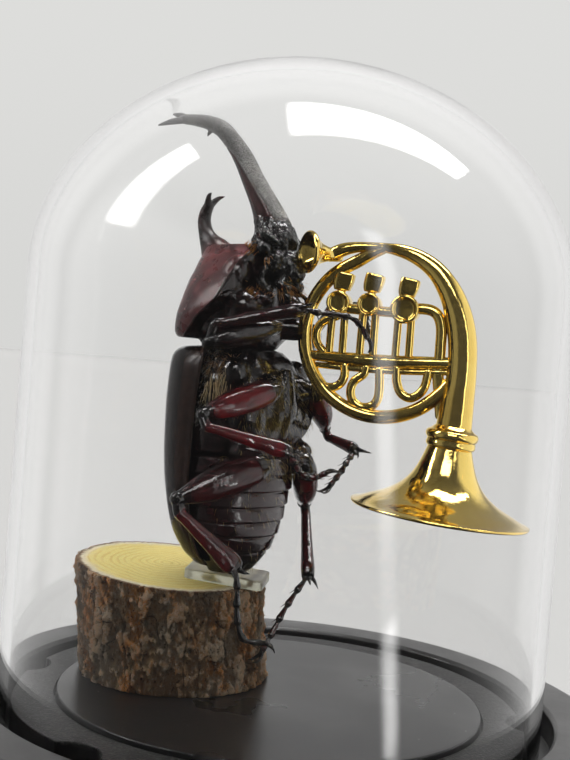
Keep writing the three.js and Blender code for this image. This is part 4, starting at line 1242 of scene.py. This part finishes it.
def leg_plane(leg):
    """A unit vector across the plane in which the leg bends."""
    hip, knee, ankle = (np.asarray(leg[key], float) for key in ("hip", "knee", "ankle"))
    across = np.cross(knee - hip, ankle - knee)
    return across / np.linalg.norm(across)


def make_thigh(name, leg, material):
    hip, knee, size = np.asarray(leg["hip"]), np.asarray(leg["knee"]), leg["thigh"]
    start = towards(hip, knee, 0.7)
    rows = []
    knee_depth = leg.get("knee_depth", 1.0)
    for t, depth, thick in THIGH_ROWS:
        point = start + (knee - start) * t
        rows.append((*point, size * thick, size * depth * (1 + (knee_depth - 1) * t**3)))

    def keeled(t, turn):
        """Low ridges run along the bar."""
        return 1 + 0.012 * np.cos(5 * turn) * np.sin(math.pi * t)

    parts = [rod(rows, 40, 60, leg_plane(leg), 2.15, (0.8, 0.6), keeled)]
    bulge = size * 0.46 * (0.4 + 0.6 * knee_depth)
    parts.append(blob(knee, (bulge, bulge, size * 0.5), leg_plane(leg)))
    # The small ring between the thigh and its socket.
    ring = [(*towards(start, knee, -0.5), size * 0.5), (*towards(start, knee, 0.7), size * 0.62)]
    parts.append(rod(ring, 20, 8))
    made = fused(f"{name}_thigh_bar", [(on_beetle(p), f) for p, f in parts], 0.15, 4, material)
    own = off_beetle(points_of(made))
    along = ((own - start) @ (knee - start)) / np.dot(knee - start, knee - start)
    paint(made, "joint", np.clip(ramp_of(along, 0.8, 0.97) + ramp_of(along, 0.1, 0.0), 0, 1))
    redness(made, leg, leg["red"][0])
    place(made, "leg_chitin", f"{name}_thigh")


def make_shin(name, leg, material):
    shin, ankle, knee = (np.asarray(leg[key], float) for key in ("shin", "ankle", "knee"))
    calf, across = leg["calf"], leg_plane(leg)
    along = (ankle - shin) / np.linalg.norm(ankle - shin)
    side = np.sign(knee[1])
    outward = np.array([0, side, 0.0]) - along * side * along[1]
    outward /= np.linalg.norm(outward)
    rows = [(*(knee + (shin - knee) * 0.35), calf * 0.62, calf * 0.7)]
    for t, depth, thick in SHIN_ROWS:
        rows.append((*(shin + (ankle - shin) * t), calf * thick, calf * depth))
    parts = [rod(rows, 32, 70, across, 2.5, (0.5, 0.4))]
    for t, reach in ((0.5, 1.5), (0.73, 1.8), (0.95, 2.7)):
        root = shin + (ankle - shin) * t
        tip = root + outward * reach + along * reach * 0.75
        middle = root + outward * reach * 0.6 + along * reach * 0.28
        parts.append(rod([(*root, 0.65, 0.5), (*middle, 0.4, 0.32), (*tip, 0.1, 0.08)], 14, 16))
    inward = -outward
    for spread in (-0.5, 0.5):
        root = ankle + across * spread + inward * 0.4
        tip = root + along * 2.3 + inward * 0.7 + across * spread * 1.1
        parts.append(rod([(*root, 0.42), (*(root + along * 1.2), 0.3), (*tip, 0.1)], 12, 12))
    made = fused(f"{name}_shin_bar", [(on_beetle(p), f) for p, f in parts], 0.13, 3, material)
    own = off_beetle(points_of(made))
    share = ((own - shin) @ along) / np.linalg.norm(ankle - shin)
    out = (own - shin) @ outward - 1.1 * calf
    joint = ramp_of(share, 0.06, -0.04) + ramp_of(out, 0.0, 0.7) + ramp_of(share, 0.86, 1.02)
    paint(made, "joint", np.clip(joint, 0, 1))
    redness(made, leg, leg["red"][1])
    place(made, "leg_chitin", f"{name}_shin")


def make_foot(name, leg, material):
    """Five joints that swell to their lower ends, bristles between them and two hooked claws."""
    ankle = np.asarray(leg["ankle"], float)
    start = towards(ankle, leg["foot"][0], 0.5)
    route = resampled([tuple(start), *leg["foot"]], 60)
    lengths = np.concatenate([[0], np.cumsum(np.linalg.norm(np.diff(route, axis=0), axis=1))])
    lengths /= lengths[-1]

    def at(share):
        return np.array([np.interp(share, lengths, route[:, k]) for k in range(3)])

    parts = []
    for bead in range(5):
        low, high = bead / 5, (bead + 1) / 5
        big = 0.62 if bead < 4 else 0.5
        rows = [(low - 0.004, 0.26), (low + 0.04, 0.36), (low + 0.11, 0.48)]
        rows += [(high - 0.035, big), (high - 0.005, big * 0.8)]
        parts.append(rod([(*at(max(t, 0)), r) for t, r in rows], 18, 22, ends=(0.6, 0.7)))
    end, before = at(1.0), at(0.93)
    along = (end - before) / np.linalg.norm(end - before)
    across = np.cross((0, 0, 1.0), along)
    if np.linalg.norm(across) < 0.1:
        across = np.array([0, 1.0, 0])
    across /= np.linalg.norm(across)
    hook = np.cross(along, across) * np.sign(leg["knee"][1])
    for side in (-1, 1):
        claw = [
            (*(end + across * side * outward + along * forward + hook * down), size)
            for outward, forward, down, size in CLAW_ROWS
        ]
        parts.append(rod(claw, 12, 26))
    for t in (0.19, 0.39, 0.59, 0.79, 0.93):
        for side in (-1, 1):
            root = at(t) + across * side * 0.35 + hook * 0.3
            tip = root + along * 0.9 + across * side * 0.35 + hook * 0.35
            parts.append(rod([(*root, 0.09), (*tip, 0.03)], 5, 4))
    points, faces = joined(parts)
    made = object_of(f"{name}_foot_beads", on_beetle(points), faces, material)
    nearest = np.linalg.norm(points[:, None, :] - route[None], axis=2).argmin(1)
    share = lengths[nearest]
    paint(made, "joint", 0.5 + 0.5 * np.cos(share * 10 * math.pi))
    paint(made, "red", np.full(len(points), leg["red"][2]))
    place(made, "leg_chitin", f"{name}_foot")


# ------------------------------------------------------------------ bristles


def bristle_tree():
    """Curved bristles that stand on a surface and follow its comb direction."""
    tree = bpy.data.node_groups.new("bristles on a surface", "GeometryNodeTree")
    face = tree.interface
    for name, kind, value in (
        ("Geometry", "Geometry", None),
        ("Per Area", "Float", 1e6),
        ("Length", "Float", 0.001),
        ("Radius", "Float", 0.00003),
        ("Droop", "Float", 0.3),
        ("Scatter", "Float", 0.25),
        ("Seed", "Int", 1),
        ("Material", "Material", None),
    ):
        socket = face.new_socket(name, in_out="INPUT", socket_type="NodeSocket" + kind)
        if value is not None:
            socket.default_value = value
    face.new_socket("Geometry", in_out="OUTPUT", socket_type="NodeSocketGeometry")

    def node(kind, inputs=None, **settings):
        made = tree.nodes.new(kind)
        for key, value in settings.items():
            setattr(made, key, value)
        for key, value in (inputs or {}).items():
            if isinstance(value, bpy.types.NodeSocket):
                tree.links.new(value, made.inputs[key])
            else:
                made.inputs[key].default_value = value
        return made

    def math_of(operation, *values):
        return node("ShaderNodeMath", dict(enumerate(values)), operation=operation).outputs[0]

    start = node("NodeGroupInput").outputs
    thick = node("GeometryNodeInputNamedAttribute", {"Name": "bristly"}, data_type="FLOAT")
    comb = node("GeometryNodeInputNamedAttribute", {"Name": "comb"}, data_type="FLOAT_VECTOR")
    density = math_of("MULTIPLY", thick.outputs["Attribute"], start["Per Area"])
    spread = {"Mesh": start["Geometry"], "Density": density, "Seed": start["Seed"]}
    spread = node("GeometryNodeDistributePointsOnFaces", spread, distribute_method="RANDOM")

    # One bristle: a three-sided cone of unit height that bends over.
    cone = {"Vertices": 3, "Side Segments": 4, "Radius Top": 0.12, "Radius Bottom": 1.0, "Depth": 1.0}
    cone = node("GeometryNodeMeshCone", cone, fill_type="NONE")
    place_of = node("GeometryNodeInputPosition").outputs[0]
    x, y, z = node("ShaderNodeSeparateXYZ", {0: place_of}).outputs
    share = math_of("DIVIDE", start["Radius"], start["Length"])
    lean = math_of("MULTIPLY", math_of("POWER", z, 2.0), start["Droop"])
    bent = {"X": math_of("MULTIPLY_ADD", x, share, lean), "Y": math_of("MULTIPLY", y, share), "Z": z}
    bent = node("ShaderNodeCombineXYZ", bent).outputs[0]
    shaped = node("GeometryNodeSetPosition", {"Geometry": cone.outputs["Mesh"], "Position": bent})

    # Its direction: the comb vector with some scatter.
    jitter = {"Min": (-1, -1, -1), "Max": (1, 1, 1), "Seed": start["Seed"]}
    jitter = node("FunctionNodeRandomValue", jitter, data_type="FLOAT_VECTOR")
    loose = {0: jitter.outputs[0], "Scale": start["Scatter"]}
    loose = node("ShaderNodeVectorMath", loose, operation="SCALE")
    aim = {0: comb.outputs["Attribute"], 1: loose.outputs[0]}
    aim = node("ShaderNodeVectorMath", aim, operation="ADD")
    raised = node("FunctionNodeAlignRotationToVector", {"Vector": aim.outputs[0]}, axis="Z")
    drooping = {"Rotation": raised.outputs[0], "Vector": (0.0, 0.0, -1.0)}
    drooping = node("FunctionNodeAlignRotationToVector", drooping, axis="X", pivot_axis="Z")
    size = node("FunctionNodeRandomValue", {2: 0.55, 3: 1.15, "Seed": start["Seed"]}, data_type="FLOAT")
    grown = math_of("MULTIPLY", size.outputs[1], start["Length"])
    copies = {"Points": spread.outputs["Points"], "Instance": shaped.outputs[0]}
    copies.update({"Rotation": drooping.outputs[0], "Scale": grown})
    copies = node("GeometryNodeInstanceOnPoints", copies)
    real = node("GeometryNodeRealizeInstances", {0: copies.outputs[0]})
    finish = {"Geometry": real.outputs[0], "Material": start["Material"]}
    finish = node("GeometryNodeSetMaterial", finish)
    node("NodeGroupOutput", {0: finish.outputs[0]})
    return tree


def hair_material(name, root, tip):
    made = Finish(name, ior=1.5, roughness=0.4)
    made.set("base_color", made.blend(made.between(made.noise(1.3, 3), 0.35, 0.65), root, tip))
    return made.material


def grow(tree, name, ground, share, comb, material, slot, per_mm2, length, radius, droop, scatter, seed):
    """Bristles on a piece: share and comb are given at each of its points, sizes in millimetres."""
    made = new_object(name, ground.data.copy())
    paint(made, "bristly", np.clip(share, 0, 1))
    direction = made.data.attributes.new("comb", "FLOAT_VECTOR", "POINT")
    direction.data.foreach_set("vector", np.asarray(comb, np.float32).ravel())
    modifier = made.modifiers.new("bristles", "NODES")
    modifier.node_group = tree
    values = {
        "Per Area": per_mm2 / MM**2,
        "Length": length * MM,
        "Radius": radius * MM,
        "Droop": droop,
        "Scatter": scatter,
        "Seed": seed,
        "Material": material,
    }
    for item in tree.interface.items_tree:
        if item.in_out == "INPUT" and item.name in values:
            modifier[item.identifier] = values[item.name]
    made_plain(made)
    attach(made, "root")


def local_direction(vector):
    """A direction of the beetle's own frame, in the row frame."""
    return on_beetle(vector) - np.asarray(BEETLE_FOOT)


def make_bristles():
    tree = bristle_tree()
    orange = hair_material("orange fringe", (0.55, 0.2, 0.03), (0.75, 0.38, 0.08))
    brown = hair_material("brown chest hair", (0.2, 0.09, 0.03), (0.42, 0.24, 0.09))
    straw = hair_material("straw bristles", (0.35, 0.24, 0.1), (0.6, 0.46, 0.24))
    grey = hair_material("grey flank hair", (0.1, 0.095, 0.085), (0.42, 0.4, 0.36))
    olive = hair_material("olive belly hair", (0.24, 0.18, 0.04), (0.46, 0.36, 0.1))

    def surface(name):
        """A piece with its points in the beetle's own frame and its normals."""
        piece = bpy.data.objects[name]
        own = off_beetle(points_of(piece))
        return piece, own, normals_of(piece), own[:, 0], own[:, 2]

    def rows(ground, slot, *pieces):
        for name, share, comb, material, *measures in pieces:
            grow(tree, name, ground, share, comb, material, slot, *measures)

    # Each row: name, where, direction, hair, number per mm2, length, radius, droop, scatter, seed.
    chest, own, out, x, z = surface("chest")
    down = local_direction((0.2, -0.2, -1.0))
    below = swell(own, (2.5, -11.2, 35.6), 2.4)
    corner = swell(own, (3.4, -11.2, 32.2), 1.8)
    flank = ramp_of(x, 2.8, 1.0) * ramp_of(x, -1.2, -0.2) * ramp_of(z, 24, 27)
    front = ramp_of(x, 6.5, 8.5) * ramp_of(z, 36, 33) * 0.6
    rows(
        chest,
        "belly_chitin",
        ("fuzz_below_shield", below, out + 0.4 * down, brown, 16, 1.1, 0.03, 0.5, 0.7, 3),
        ("straight_bristles", corner, out * 0.35 + down, straw, 7, 3.0, 0.05, 0.15, 0.16, 4),
        ("flank_hair", flank, out + 0.7 * down, grey, 9, 0.8, 0.035, 0.4, 0.6, 5),
        ("belly_hair", front, out + 0.8 * down, olive, 2.4, 1.3, 0.028, 0.4, 0.4, 6),
    )

    shield, own, out, x, z = surface("shield")
    table = np.array(SHIELD)
    edge = np.interp(z, table[:, 0], table[:, 2])
    front = np.exp(-(((x - edge) / 0.35) ** 2)) * ramp_of(z, 52.3, 53.2)
    sockets = swell(own, (6.2, -6.4, 47.2), 1.0) + swell(own, (7.2, -4.4, 48.0), 1.0)
    up = local_direction((0.6, 0, 0.8))
    rows(
        shield,
        "back_chitin",
        ("shield_fringe", front, 0.3 * out + up, orange, 12, 1.1, 0.03, 0.3, 0.25, 7),
        ("socket_fringe", sockets, out + 0.5 * up, orange, 14, 0.9, 0.03, 0.3, 0.35, 8),
    )

    head, own, out, *_ = surface("crowned_head")
    mouth = swell(own, (9.4, -1.6, 48.0), 1.1) + swell(own, (9.4, 1.6, 48.0), 1.1)
    mouth = mouth + 0.5 * swell(own, (6.6, -4.0, 52.6), 0.8)
    comb = 0.5 * out + local_direction((0.9, -0.1, -0.4))
    rows(head, "horn_chitin", ("mouth_tufts", mouth, comb, orange, 10, 1.6, 0.035, 0.3, 0.35, 9))

    belly, _, out, x, z = surface("belly_rings")
    share = ramp_of(z, 16.0, 19.0) * ramp_of(x, 4.0, 7.0) + 0.06 * ramp_of(x, 2.0, 5.0)
    comb = out + 0.9 * down
    rows(belly, "belly_chitin", ("abdomen_hair", share, comb, olive, 3.2, 1.2, 0.028, 0.4, 0.4, 10))


# ------------------------------------------------------------------ stage, light and camera

# Pitch down, roll and yaw in degrees.
CAMERA_TILT = (0.931, 4.5, -0.443)
CAMERA_DISTANCE = 192.29
CAMERA_HEIGHT = 70.53
SENSOR_WIDTH = 36.0


def studio_world(settings):
    """A dim room with a soft box overhead, one at the left and a tall strip at the front right.
    Seen directly, or only through glass, it is a plain pale backdrop."""
    world = bpy.data.worlds.new("soft studio")
    bpy.context.scene.world = world
    world.use_nodes = True
    tree = world.node_tree
    tree.nodes.clear()

    def node(kind, *values, **parameters):
        made = tree.nodes.new(kind)
        for key, value in parameters.items():
            setattr(made, key, value)
        for index, value in enumerate(values):
            if isinstance(value, bpy.types.NodeSocket):
                tree.links.new(value, made.inputs[index])
            elif value is not None:
                made.inputs[index].default_value = value
        return made.outputs[0]

    def chain(operation):
        """A short call that takes its values together from the left to the right."""

        def call(first, *others):
            for other in others:
                first = node("ShaderNodeMath", first, other, operation=operation)
            return first

        return call

    plus, less, times, over = (chain(kind) for kind in ("ADD", "SUBTRACT", "MULTIPLY", "DIVIDE"))
    above = chain("GREATER_THAN")

    def step(value, low, high, to_low=0.0, to_high=1.0):
        """A smooth step between two numbers."""
        return node("ShaderNodeMapRange", value, low, high, to_low, to_high, interpolation_type="SMOOTHSTEP")

    def window(value, low, high, soft):
        """1 between two limits, with soft edges."""
        return times(step(value, low - soft, low + soft), step(value, high + soft, high - soft))

    def lamp_of(divisor, across, across_range, up, up_range, soft, level):
        """A soft-edged window in the directions that lie round one axis."""
        across, up = window(across, *across_range, soft), window(up, *up_range, soft)
        return times(across, up, above(divisor, 0.02), level)

    coordinates = tree.nodes.new("ShaderNodeTexCoord").outputs["Generated"]
    parts = tree.nodes.new("ShaderNodeSeparateXYZ")
    tree.links.new(coordinates, parts.inputs[0])
    x, y, z = parts.outputs
    left, front = times(x, -1.0), times(y, -1.0)
    # The overhead box narrows to the right, and the strip leans with height.
    u, v = over(x, z), over(y, z)
    v = over(less(v, times(u, 0.13)), less(1.0, times(u, 0.52)))
    overhead = lamp_of(z, u, (-0.1, 0.87), v, (-0.09, 0.22), 0.03, settings.overhead_light)
    u, v = over(y, left), over(z, left)
    beside = lamp_of(left, u, (-0.25, 0.0), v, (0.36, 1.5), 0.04, settings.side_light)
    u, v = over(x, front), over(z, front)
    lean = less(times(v, 0.65), times(node("ShaderNodeMath", v, operation="ABSOLUTE"), 0.35))
    strip = lamp_of(front, plus(u, lean), (0.61, 0.79), v, (-0.55, 0.6), 0.06, settings.strip_light)
    strip = times(strip, plus(step(v, -0.27, -0.06, 0.25, 0.7), step(v, -0.30, -0.34, 0.0, 1.2)))
    path = tree.nodes.new("ShaderNodeLightPath").outputs
    # What stands inside the dome mirrors a darker room with pale side walls and one more panel at the front.
    inside = times(above(path["Transmission Depth"], 3.5), above(path["Glossy Depth"], 0.5))
    walls = plus(step(x, 0.5, 0.75, 0.03, 0.95), step(left, 0.55, 0.85, 0.0, 0.2))
    walls = times(walls, window(z, -0.6, 0.7, 0.12))
    panel = lamp_of(front, u, (-0.45, 0.25), v, (0.55, 1.1), 0.05, 6.0)
    shade = step(y, 0.8, 0.93, 0.7, 0.0)
    room = plus(step(y, -0.55, 0.7, 0.05, 0.8), step(z, 0.35, 1.0, 0.0, 0.3))
    room = times(room, less(1.0, times(inside, shade)))
    # A lamp's second mirror image is faint.
    again = above(path["Glossy Depth"], 1.5)
    lamps = times(plus(overhead, beside), less(1.0, times(again, 0.97)))
    total = plus(room, lamps, strip, times(plus(walls, panel), inside))
    lamp = node("ShaderNodeBackground", (1.0, 0.995, 0.985, 1), total)

    bounces = plus(path["Diffuse Depth"], path["Glossy Depth"])
    direct = node("ShaderNodeMath", bounces, 0.5, operation="LESS_THAN")
    through = times(path["Is Transmission Ray"], direct)
    seen = node("ShaderNodeMath", path["Is Camera Ray"], through, operation="MAXIMUM")
    # Up high behind the glass the backdrop is a little brighter, for what the glass holds back.
    lift = times(step(z, 0.0, 0.22, 0.0, 0.13), through)
    grade = step(z, -0.02, 0.3, 0.93, 1.0)
    backdrop = node("ShaderNodeBackground", (*settings.backdrop_colour, 1), plus(lift, grade))
    shown = node("ShaderNodeMixShader", seen, lamp, backdrop)
    tree.links.new(shown, tree.nodes.new("ShaderNodeOutputWorld").inputs[0])


def make_stage(settings):
    """Floor, camera and light."""
    rings = [(200.0, -1.0), (9000.0, -1.0)]
    rings += [(r, 0.0) for r in (9000.0, 4000, 1500, 600, 250, 120, 40)]
    points, faces = turned(rings, 96)
    paper = Finish("pale paper", roughness=0.9, specular_ior_level=0.1)
    grain = paper.noise(0.02, 4, 0.5)
    colour = settings.floor_colour
    paper.set("base_color", paper.blend(paper.times(grain, 0.4), colour, scaled(colour, 0.985)))
    paper.bump((paper.noise(2.0, 3), 0.01))
    # Mirror reflections see the room instead of the endless floor.
    mirrored = paper.sum(paper.node("ShaderNodeLightPath").outputs["Glossy Depth"], 0.5, "GREATER_THAN")
    clear = paper.node("ShaderNodeBsdfTransparent").outputs[0]
    surface = paper.node("ShaderNodeMixShader", {0: mirrored, 1: paper.shader.outputs[0], 2: clear})
    paper.feed(paper.tree.nodes["Material Output"].inputs[0], surface.outputs[0])
    floor = object_of("floor", points - np.array([0, 0, 0.05]), faces, paper.material)
    studio_world(settings)

    pitch, roll, yaw = (math.radians(angle) for angle in CAMERA_TILT)
    forward = Vector((math.sin(yaw) * math.cos(pitch), math.cos(yaw) * math.cos(pitch), -math.sin(pitch)))
    level = Vector((math.cos(yaw), -math.sin(yaw), 0))
    upward = level.cross(forward)
    right = math.cos(roll) * level + math.sin(roll) * upward
    top = -math.sin(roll) * level + math.cos(roll) * upward
    camera = bpy.data.objects.new("camera", bpy.data.cameras.new("camera"))
    bpy.context.scene.collection.objects.link(camera)
    camera.matrix_world = Matrix(
        [
            (right.x, top.x, -forward.x, 0.0),
            (right.y, top.y, -forward.y, -CAMERA_DISTANCE * MM),
            (right.z, top.z, -forward.z, CAMERA_HEIGHT * MM),
            (0, 0, 0, 1),
        ]
    )
    camera.data.sensor_width = SENSOR_WIDTH
    camera.data.lens = SENSOR_WIDTH / 2 / math.tan(settings.view_angle / 2)
    camera.data.clip_start, camera.data.clip_end = 0.01, 50.0
    bpy.context.scene.camera = camera
    bpy.context.scene.view_settings.view_transform = "Standard"


# ------------------------------------------------------------------ settings


def number(name, description, default, **kind):
    return bpy.props.FloatProperty(name=name, description=description, default=default, **kind)


def length(name, description, default):
    return number(name, description, default, unit="LENGTH")


def colour(name, description, default):
    return bpy.props.FloatVectorProperty(
        name=name, description=description, default=default, subtype="COLOR", size=3, min=0.0, max=1.0
    )


class StandSettings(bpy.types.PropertyGroup):
    base_radius: length("Base radius", "Outer radius of the moulded base", 0.057)
    base_height: length("Base height", "Height of the base's rim", 0.015)
    groove_radius: length("Groove radius", "Outer radius of the groove that takes the glass", 0.047)
    deck_radius: length("Deck radius", "Radius of the textured deck inside the groove", 0.0425)
    notch_radius: length("Notch radius", "Radius of each finger notch in the deck's edge", 0.0052)
    notch_centre: length("Notch place", "Distance of each finger notch from the axis", 0.045)
    base_colour: colour("Base colour", "Black moulded plastic", (0.016, 0.0155, 0.0155))
    plate_colour: colour("Disc colour", "Smooth inlaid disc", (0.010, 0.010, 0.0105))


class DomeSettings(bpy.types.PropertyGroup):
    glass_radius: length("Glass radius", "Outer radius of the dome", 0.045)
    glass_wall: length("Wall", "Thickness of the glass", 0.0018)
    glass_top: length("Top", "Height of the dome's top above the table", 0.1201)
    ior: number("IOR", "Refraction of the glass", 1.47)


class LogSettings(bpy.types.PropertyGroup):
    pith: bpy.props.FloatVectorProperty(
        name="Pith",
        description="Centre of the rings",
        default=(-0.0202, 0.0091, 0.0334),
        subtype="XYZ",
        unit="LENGTH",
    )
    ring_gap: length("Ring gap", "Width of one year's ring", 0.00125)
    wood_colour: colour("Wood", "Pale wood of the sawn face", (1.0, 0.80, 0.24))
    bark_colour: colour("Bark", "Main colour of the bark", (0.60, 0.37, 0.21))
    pad_colour: colour("Pad", "Tint of the clear pad", (0.80, 0.80, 0.66))


class FrenchHornSettings(bpy.types.PropertyGroup):
    gold_colour: colour("Gold", "Colour of the plating", (0.98, 0.77, 0.24))
    polish: number("Roughness", "Roughness of the polished gold", 0.05, subtype="FACTOR")


class BeetleSettings(bpy.types.PropertyGroup):
    back_colour: colour("Shield", "Red-brown of the shield", (0.165, 0.015, 0.018))
    belly_colour: colour("Belly", "Wine red of the belly rings", (0.05, 0.012, 0.014))
    wing_colour: colour("Wing cases", "Black-brown of the wing cases", (0.014, 0.009, 0.008))
    leg_colour: colour("Legs", "Red of the leg bars", (0.16, 0.008, 0.011))


class StageSettings(bpy.types.PropertyGroup):
    view_angle: number("View angle", "Angle of view along the picture's long side", 0.6425, subtype="ANGLE")
    floor_colour: colour("Floor", "Pale paper under the base", (0.35, 0.349, 0.345))
    backdrop_colour: colour("Backdrop", "Plain pale background", (0.725, 0.725, 0.71))
    overhead_light: number("Overhead", "Soft box above", 19.0)
    side_light: number("Side", "Soft box at the left", 13.0)
    strip_light: number("Strip", "Tall strip at the front", 4.0)


# ------------------------------------------------------------------ operators


class BEETLEDOME_OT_stage(bpy.types.Operator):
    """Lay the floor, and set the light and the camera"""

    bl_idname = "beetle_dome.stage"
    bl_label = "Stage, Light and Camera"

    def execute(self, context):
        make_stage(context.scene.dome_stage)
        return {"FINISHED"}


class BEETLEDOME_OT_stand(bpy.types.Operator):
    """Mould the round base and its inlaid disc"""

    bl_idname = "beetle_dome.stand"
    bl_label = "Base and Disc"

    def execute(self, context):
        make_stand(context.scene.dome_stand)
        return {"FINISHED"}


class BEETLEDOME_OT_dome(bpy.types.Operator):
    """Blow the glass dome"""

    bl_idname = "beetle_dome.dome"
    bl_label = "Glass Dome"

    def execute(self, context):
        make_dome(context.scene.dome_glass)
        return {"FINISHED"}


class BEETLEDOME_OT_log(bpy.types.Operator):
    """Saw the branch slice with its bark, and lay the clear pad on it"""

    bl_idname = "beetle_dome.log"
    bl_label = "Branch Slice and Pad"

    def execute(self, context):
        make_log(context.scene.dome_log)
        make_pad(context.scene.dome_log)
        return {"FINISHED"}


class BEETLEDOME_OT_french_horn(bpy.types.Operator):
    """Bend, turn and plate the French horn"""

    bl_idname = "beetle_dome.french_horn"
    bl_label = "French Horn"

    def execute(self, context):
        make_french_horn(context.scene.dome_horn)
        return {"FINISHED"}


class BEETLEDOME_OT_prothorax(bpy.types.Operator):
    """Form the beetle's shield with its forked horn"""

    bl_idname = "beetle_dome.prothorax"
    bl_label = "Shield"

    def execute(self, context):
        make_prothorax(context.scene.dome_beetle)
        return {"FINISHED"}


class BEETLEDOME_OT_body(bpy.types.Operator):
    """Form the beetle's chest and its ringed abdomen"""

    bl_idname = "beetle_dome.body"
    bl_label = "Chest and Abdomen"

    def execute(self, context):
        make_thorax(context.scene.dome_beetle)
        make_abdomen(context.scene.dome_beetle)
        return {"FINISHED"}


class BEETLEDOME_OT_wing_cases(bpy.types.Operator):
    """Form the two wing cases"""

    bl_idname = "beetle_dome.wing_cases"
    bl_label = "Wing Cases"

    def execute(self, context):
        material = wing_case_material(context.scene.dome_beetle)
        make_wing_case("right_wing_case", -1, material)
        make_wing_case("left_wing_case", 1, material)
        return {"FINISHED"}


class BEETLEDOME_OT_head(bpy.types.Operator):
    """Form the head with its long forked horn, jaws and eyes"""

    bl_idname = "beetle_dome.head"
    bl_label = "Head and Horn"

    def execute(self, context):
        make_head()
        return {"FINISHED"}


class BEETLEDOME_OT_legs(bpy.types.Operator):
    """Form the thigh, shin and foot of all six legs"""

    bl_idname = "beetle_dome.legs"
    bl_label = "Legs"

    def execute(self, context):
        settings = context.scene.dome_beetle
        red = leg_material("polished red leg bars", settings, (0.008, 0.006, 0.006))
        feet = leg_material("dark beaded feet", settings, (0.02, 0.013, 0.01))
        for name, leg in LEGS.items():
            make_thigh(name, leg, red)
            make_shin(name, leg, red)
            make_foot(name, leg, feet)
        return {"FINISHED"}


class BEETLEDOME_OT_bristles(bpy.types.Operator):
    """Grow the beetle's hairs and bristles"""

    bl_idname = "beetle_dome.bristles"
    bl_label = "Bristles"

    def execute(self, context):
        make_bristles()
        return {"FINISHED"}


class BEETLEDOME_PT_panel(bpy.types.Panel):
    """Settings and steps of the beetle in its dome"""

    bl_idname = "BEETLEDOME_PT_panel"
    bl_label = "Beetle in a Glass Dome"
    bl_space_type = "VIEW_3D"
    bl_region_type = "UI"
    bl_category = "Beetle Dome"

    def draw(self, context):
        for title, operator, group, names in STEPS:
            box = self.layout.box()
            box.label(text=title)
            for name in names:
                box.prop(getattr(context.scene, group), name)
            box.operator(operator)


STEPS = (
    ("Stage", "beetle_dome.stage", "dome_stage", tuple(StageSettings.__annotations__)),
    ("Stand", "beetle_dome.stand", "dome_stand", tuple(StandSettings.__annotations__)),
    ("Dome", "beetle_dome.dome", "dome_glass", tuple(DomeSettings.__annotations__)),
    ("Branch slice", "beetle_dome.log", "dome_log", tuple(LogSettings.__annotations__)),
    ("French horn", "beetle_dome.french_horn", "dome_horn", tuple(FrenchHornSettings.__annotations__)),
    ("Shield", "beetle_dome.prothorax", "dome_beetle", ("back_colour",)),
    ("Body", "beetle_dome.body", "dome_beetle", ("belly_colour",)),
    ("Wing cases", "beetle_dome.wing_cases", "dome_beetle", ("wing_colour",)),
    ("Head", "beetle_dome.head", "dome_beetle", ()),
    ("Legs", "beetle_dome.legs", "dome_beetle", ("leg_colour",)),
    ("Bristles", "beetle_dome.bristles", "dome_beetle", ()),
)

GROUPS = {
    "dome_stage": StageSettings,
    "dome_stand": StandSettings,
    "dome_glass": DomeSettings,
    "dome_log": LogSettings,
    "dome_horn": FrenchHornSettings,
    "dome_beetle": BeetleSettings,
}

CLASSES = (
    *GROUPS.values(),
    BEETLEDOME_OT_stage,
    BEETLEDOME_OT_stand,
    BEETLEDOME_OT_dome,
    BEETLEDOME_OT_log,
    BEETLEDOME_OT_french_horn,
    BEETLEDOME_OT_prothorax,
    BEETLEDOME_OT_body,
    BEETLEDOME_OT_wing_cases,
    BEETLEDOME_OT_head,
    BEETLEDOME_OT_legs,
    BEETLEDOME_OT_bristles,
    BEETLEDOME_PT_panel,
)


def register():
    for made in CLASSES:
        bpy.utils.register_class(made)
    for name, group in GROUPS.items():
        setattr(bpy.types.Scene, name, bpy.props.PointerProperty(type=group))


def unregister():
    for name in GROUPS:
        delattr(bpy.types.Scene, name)
    for made in reversed(CLASSES):
        bpy.utils.unregister_class(made)


def main():
    register()
    for _, operator, *_ in STEPS:
        folder, call = operator.split(".")
        getattr(getattr(bpy.ops, folder), call)()


if __name__ == "__main__":
    main()
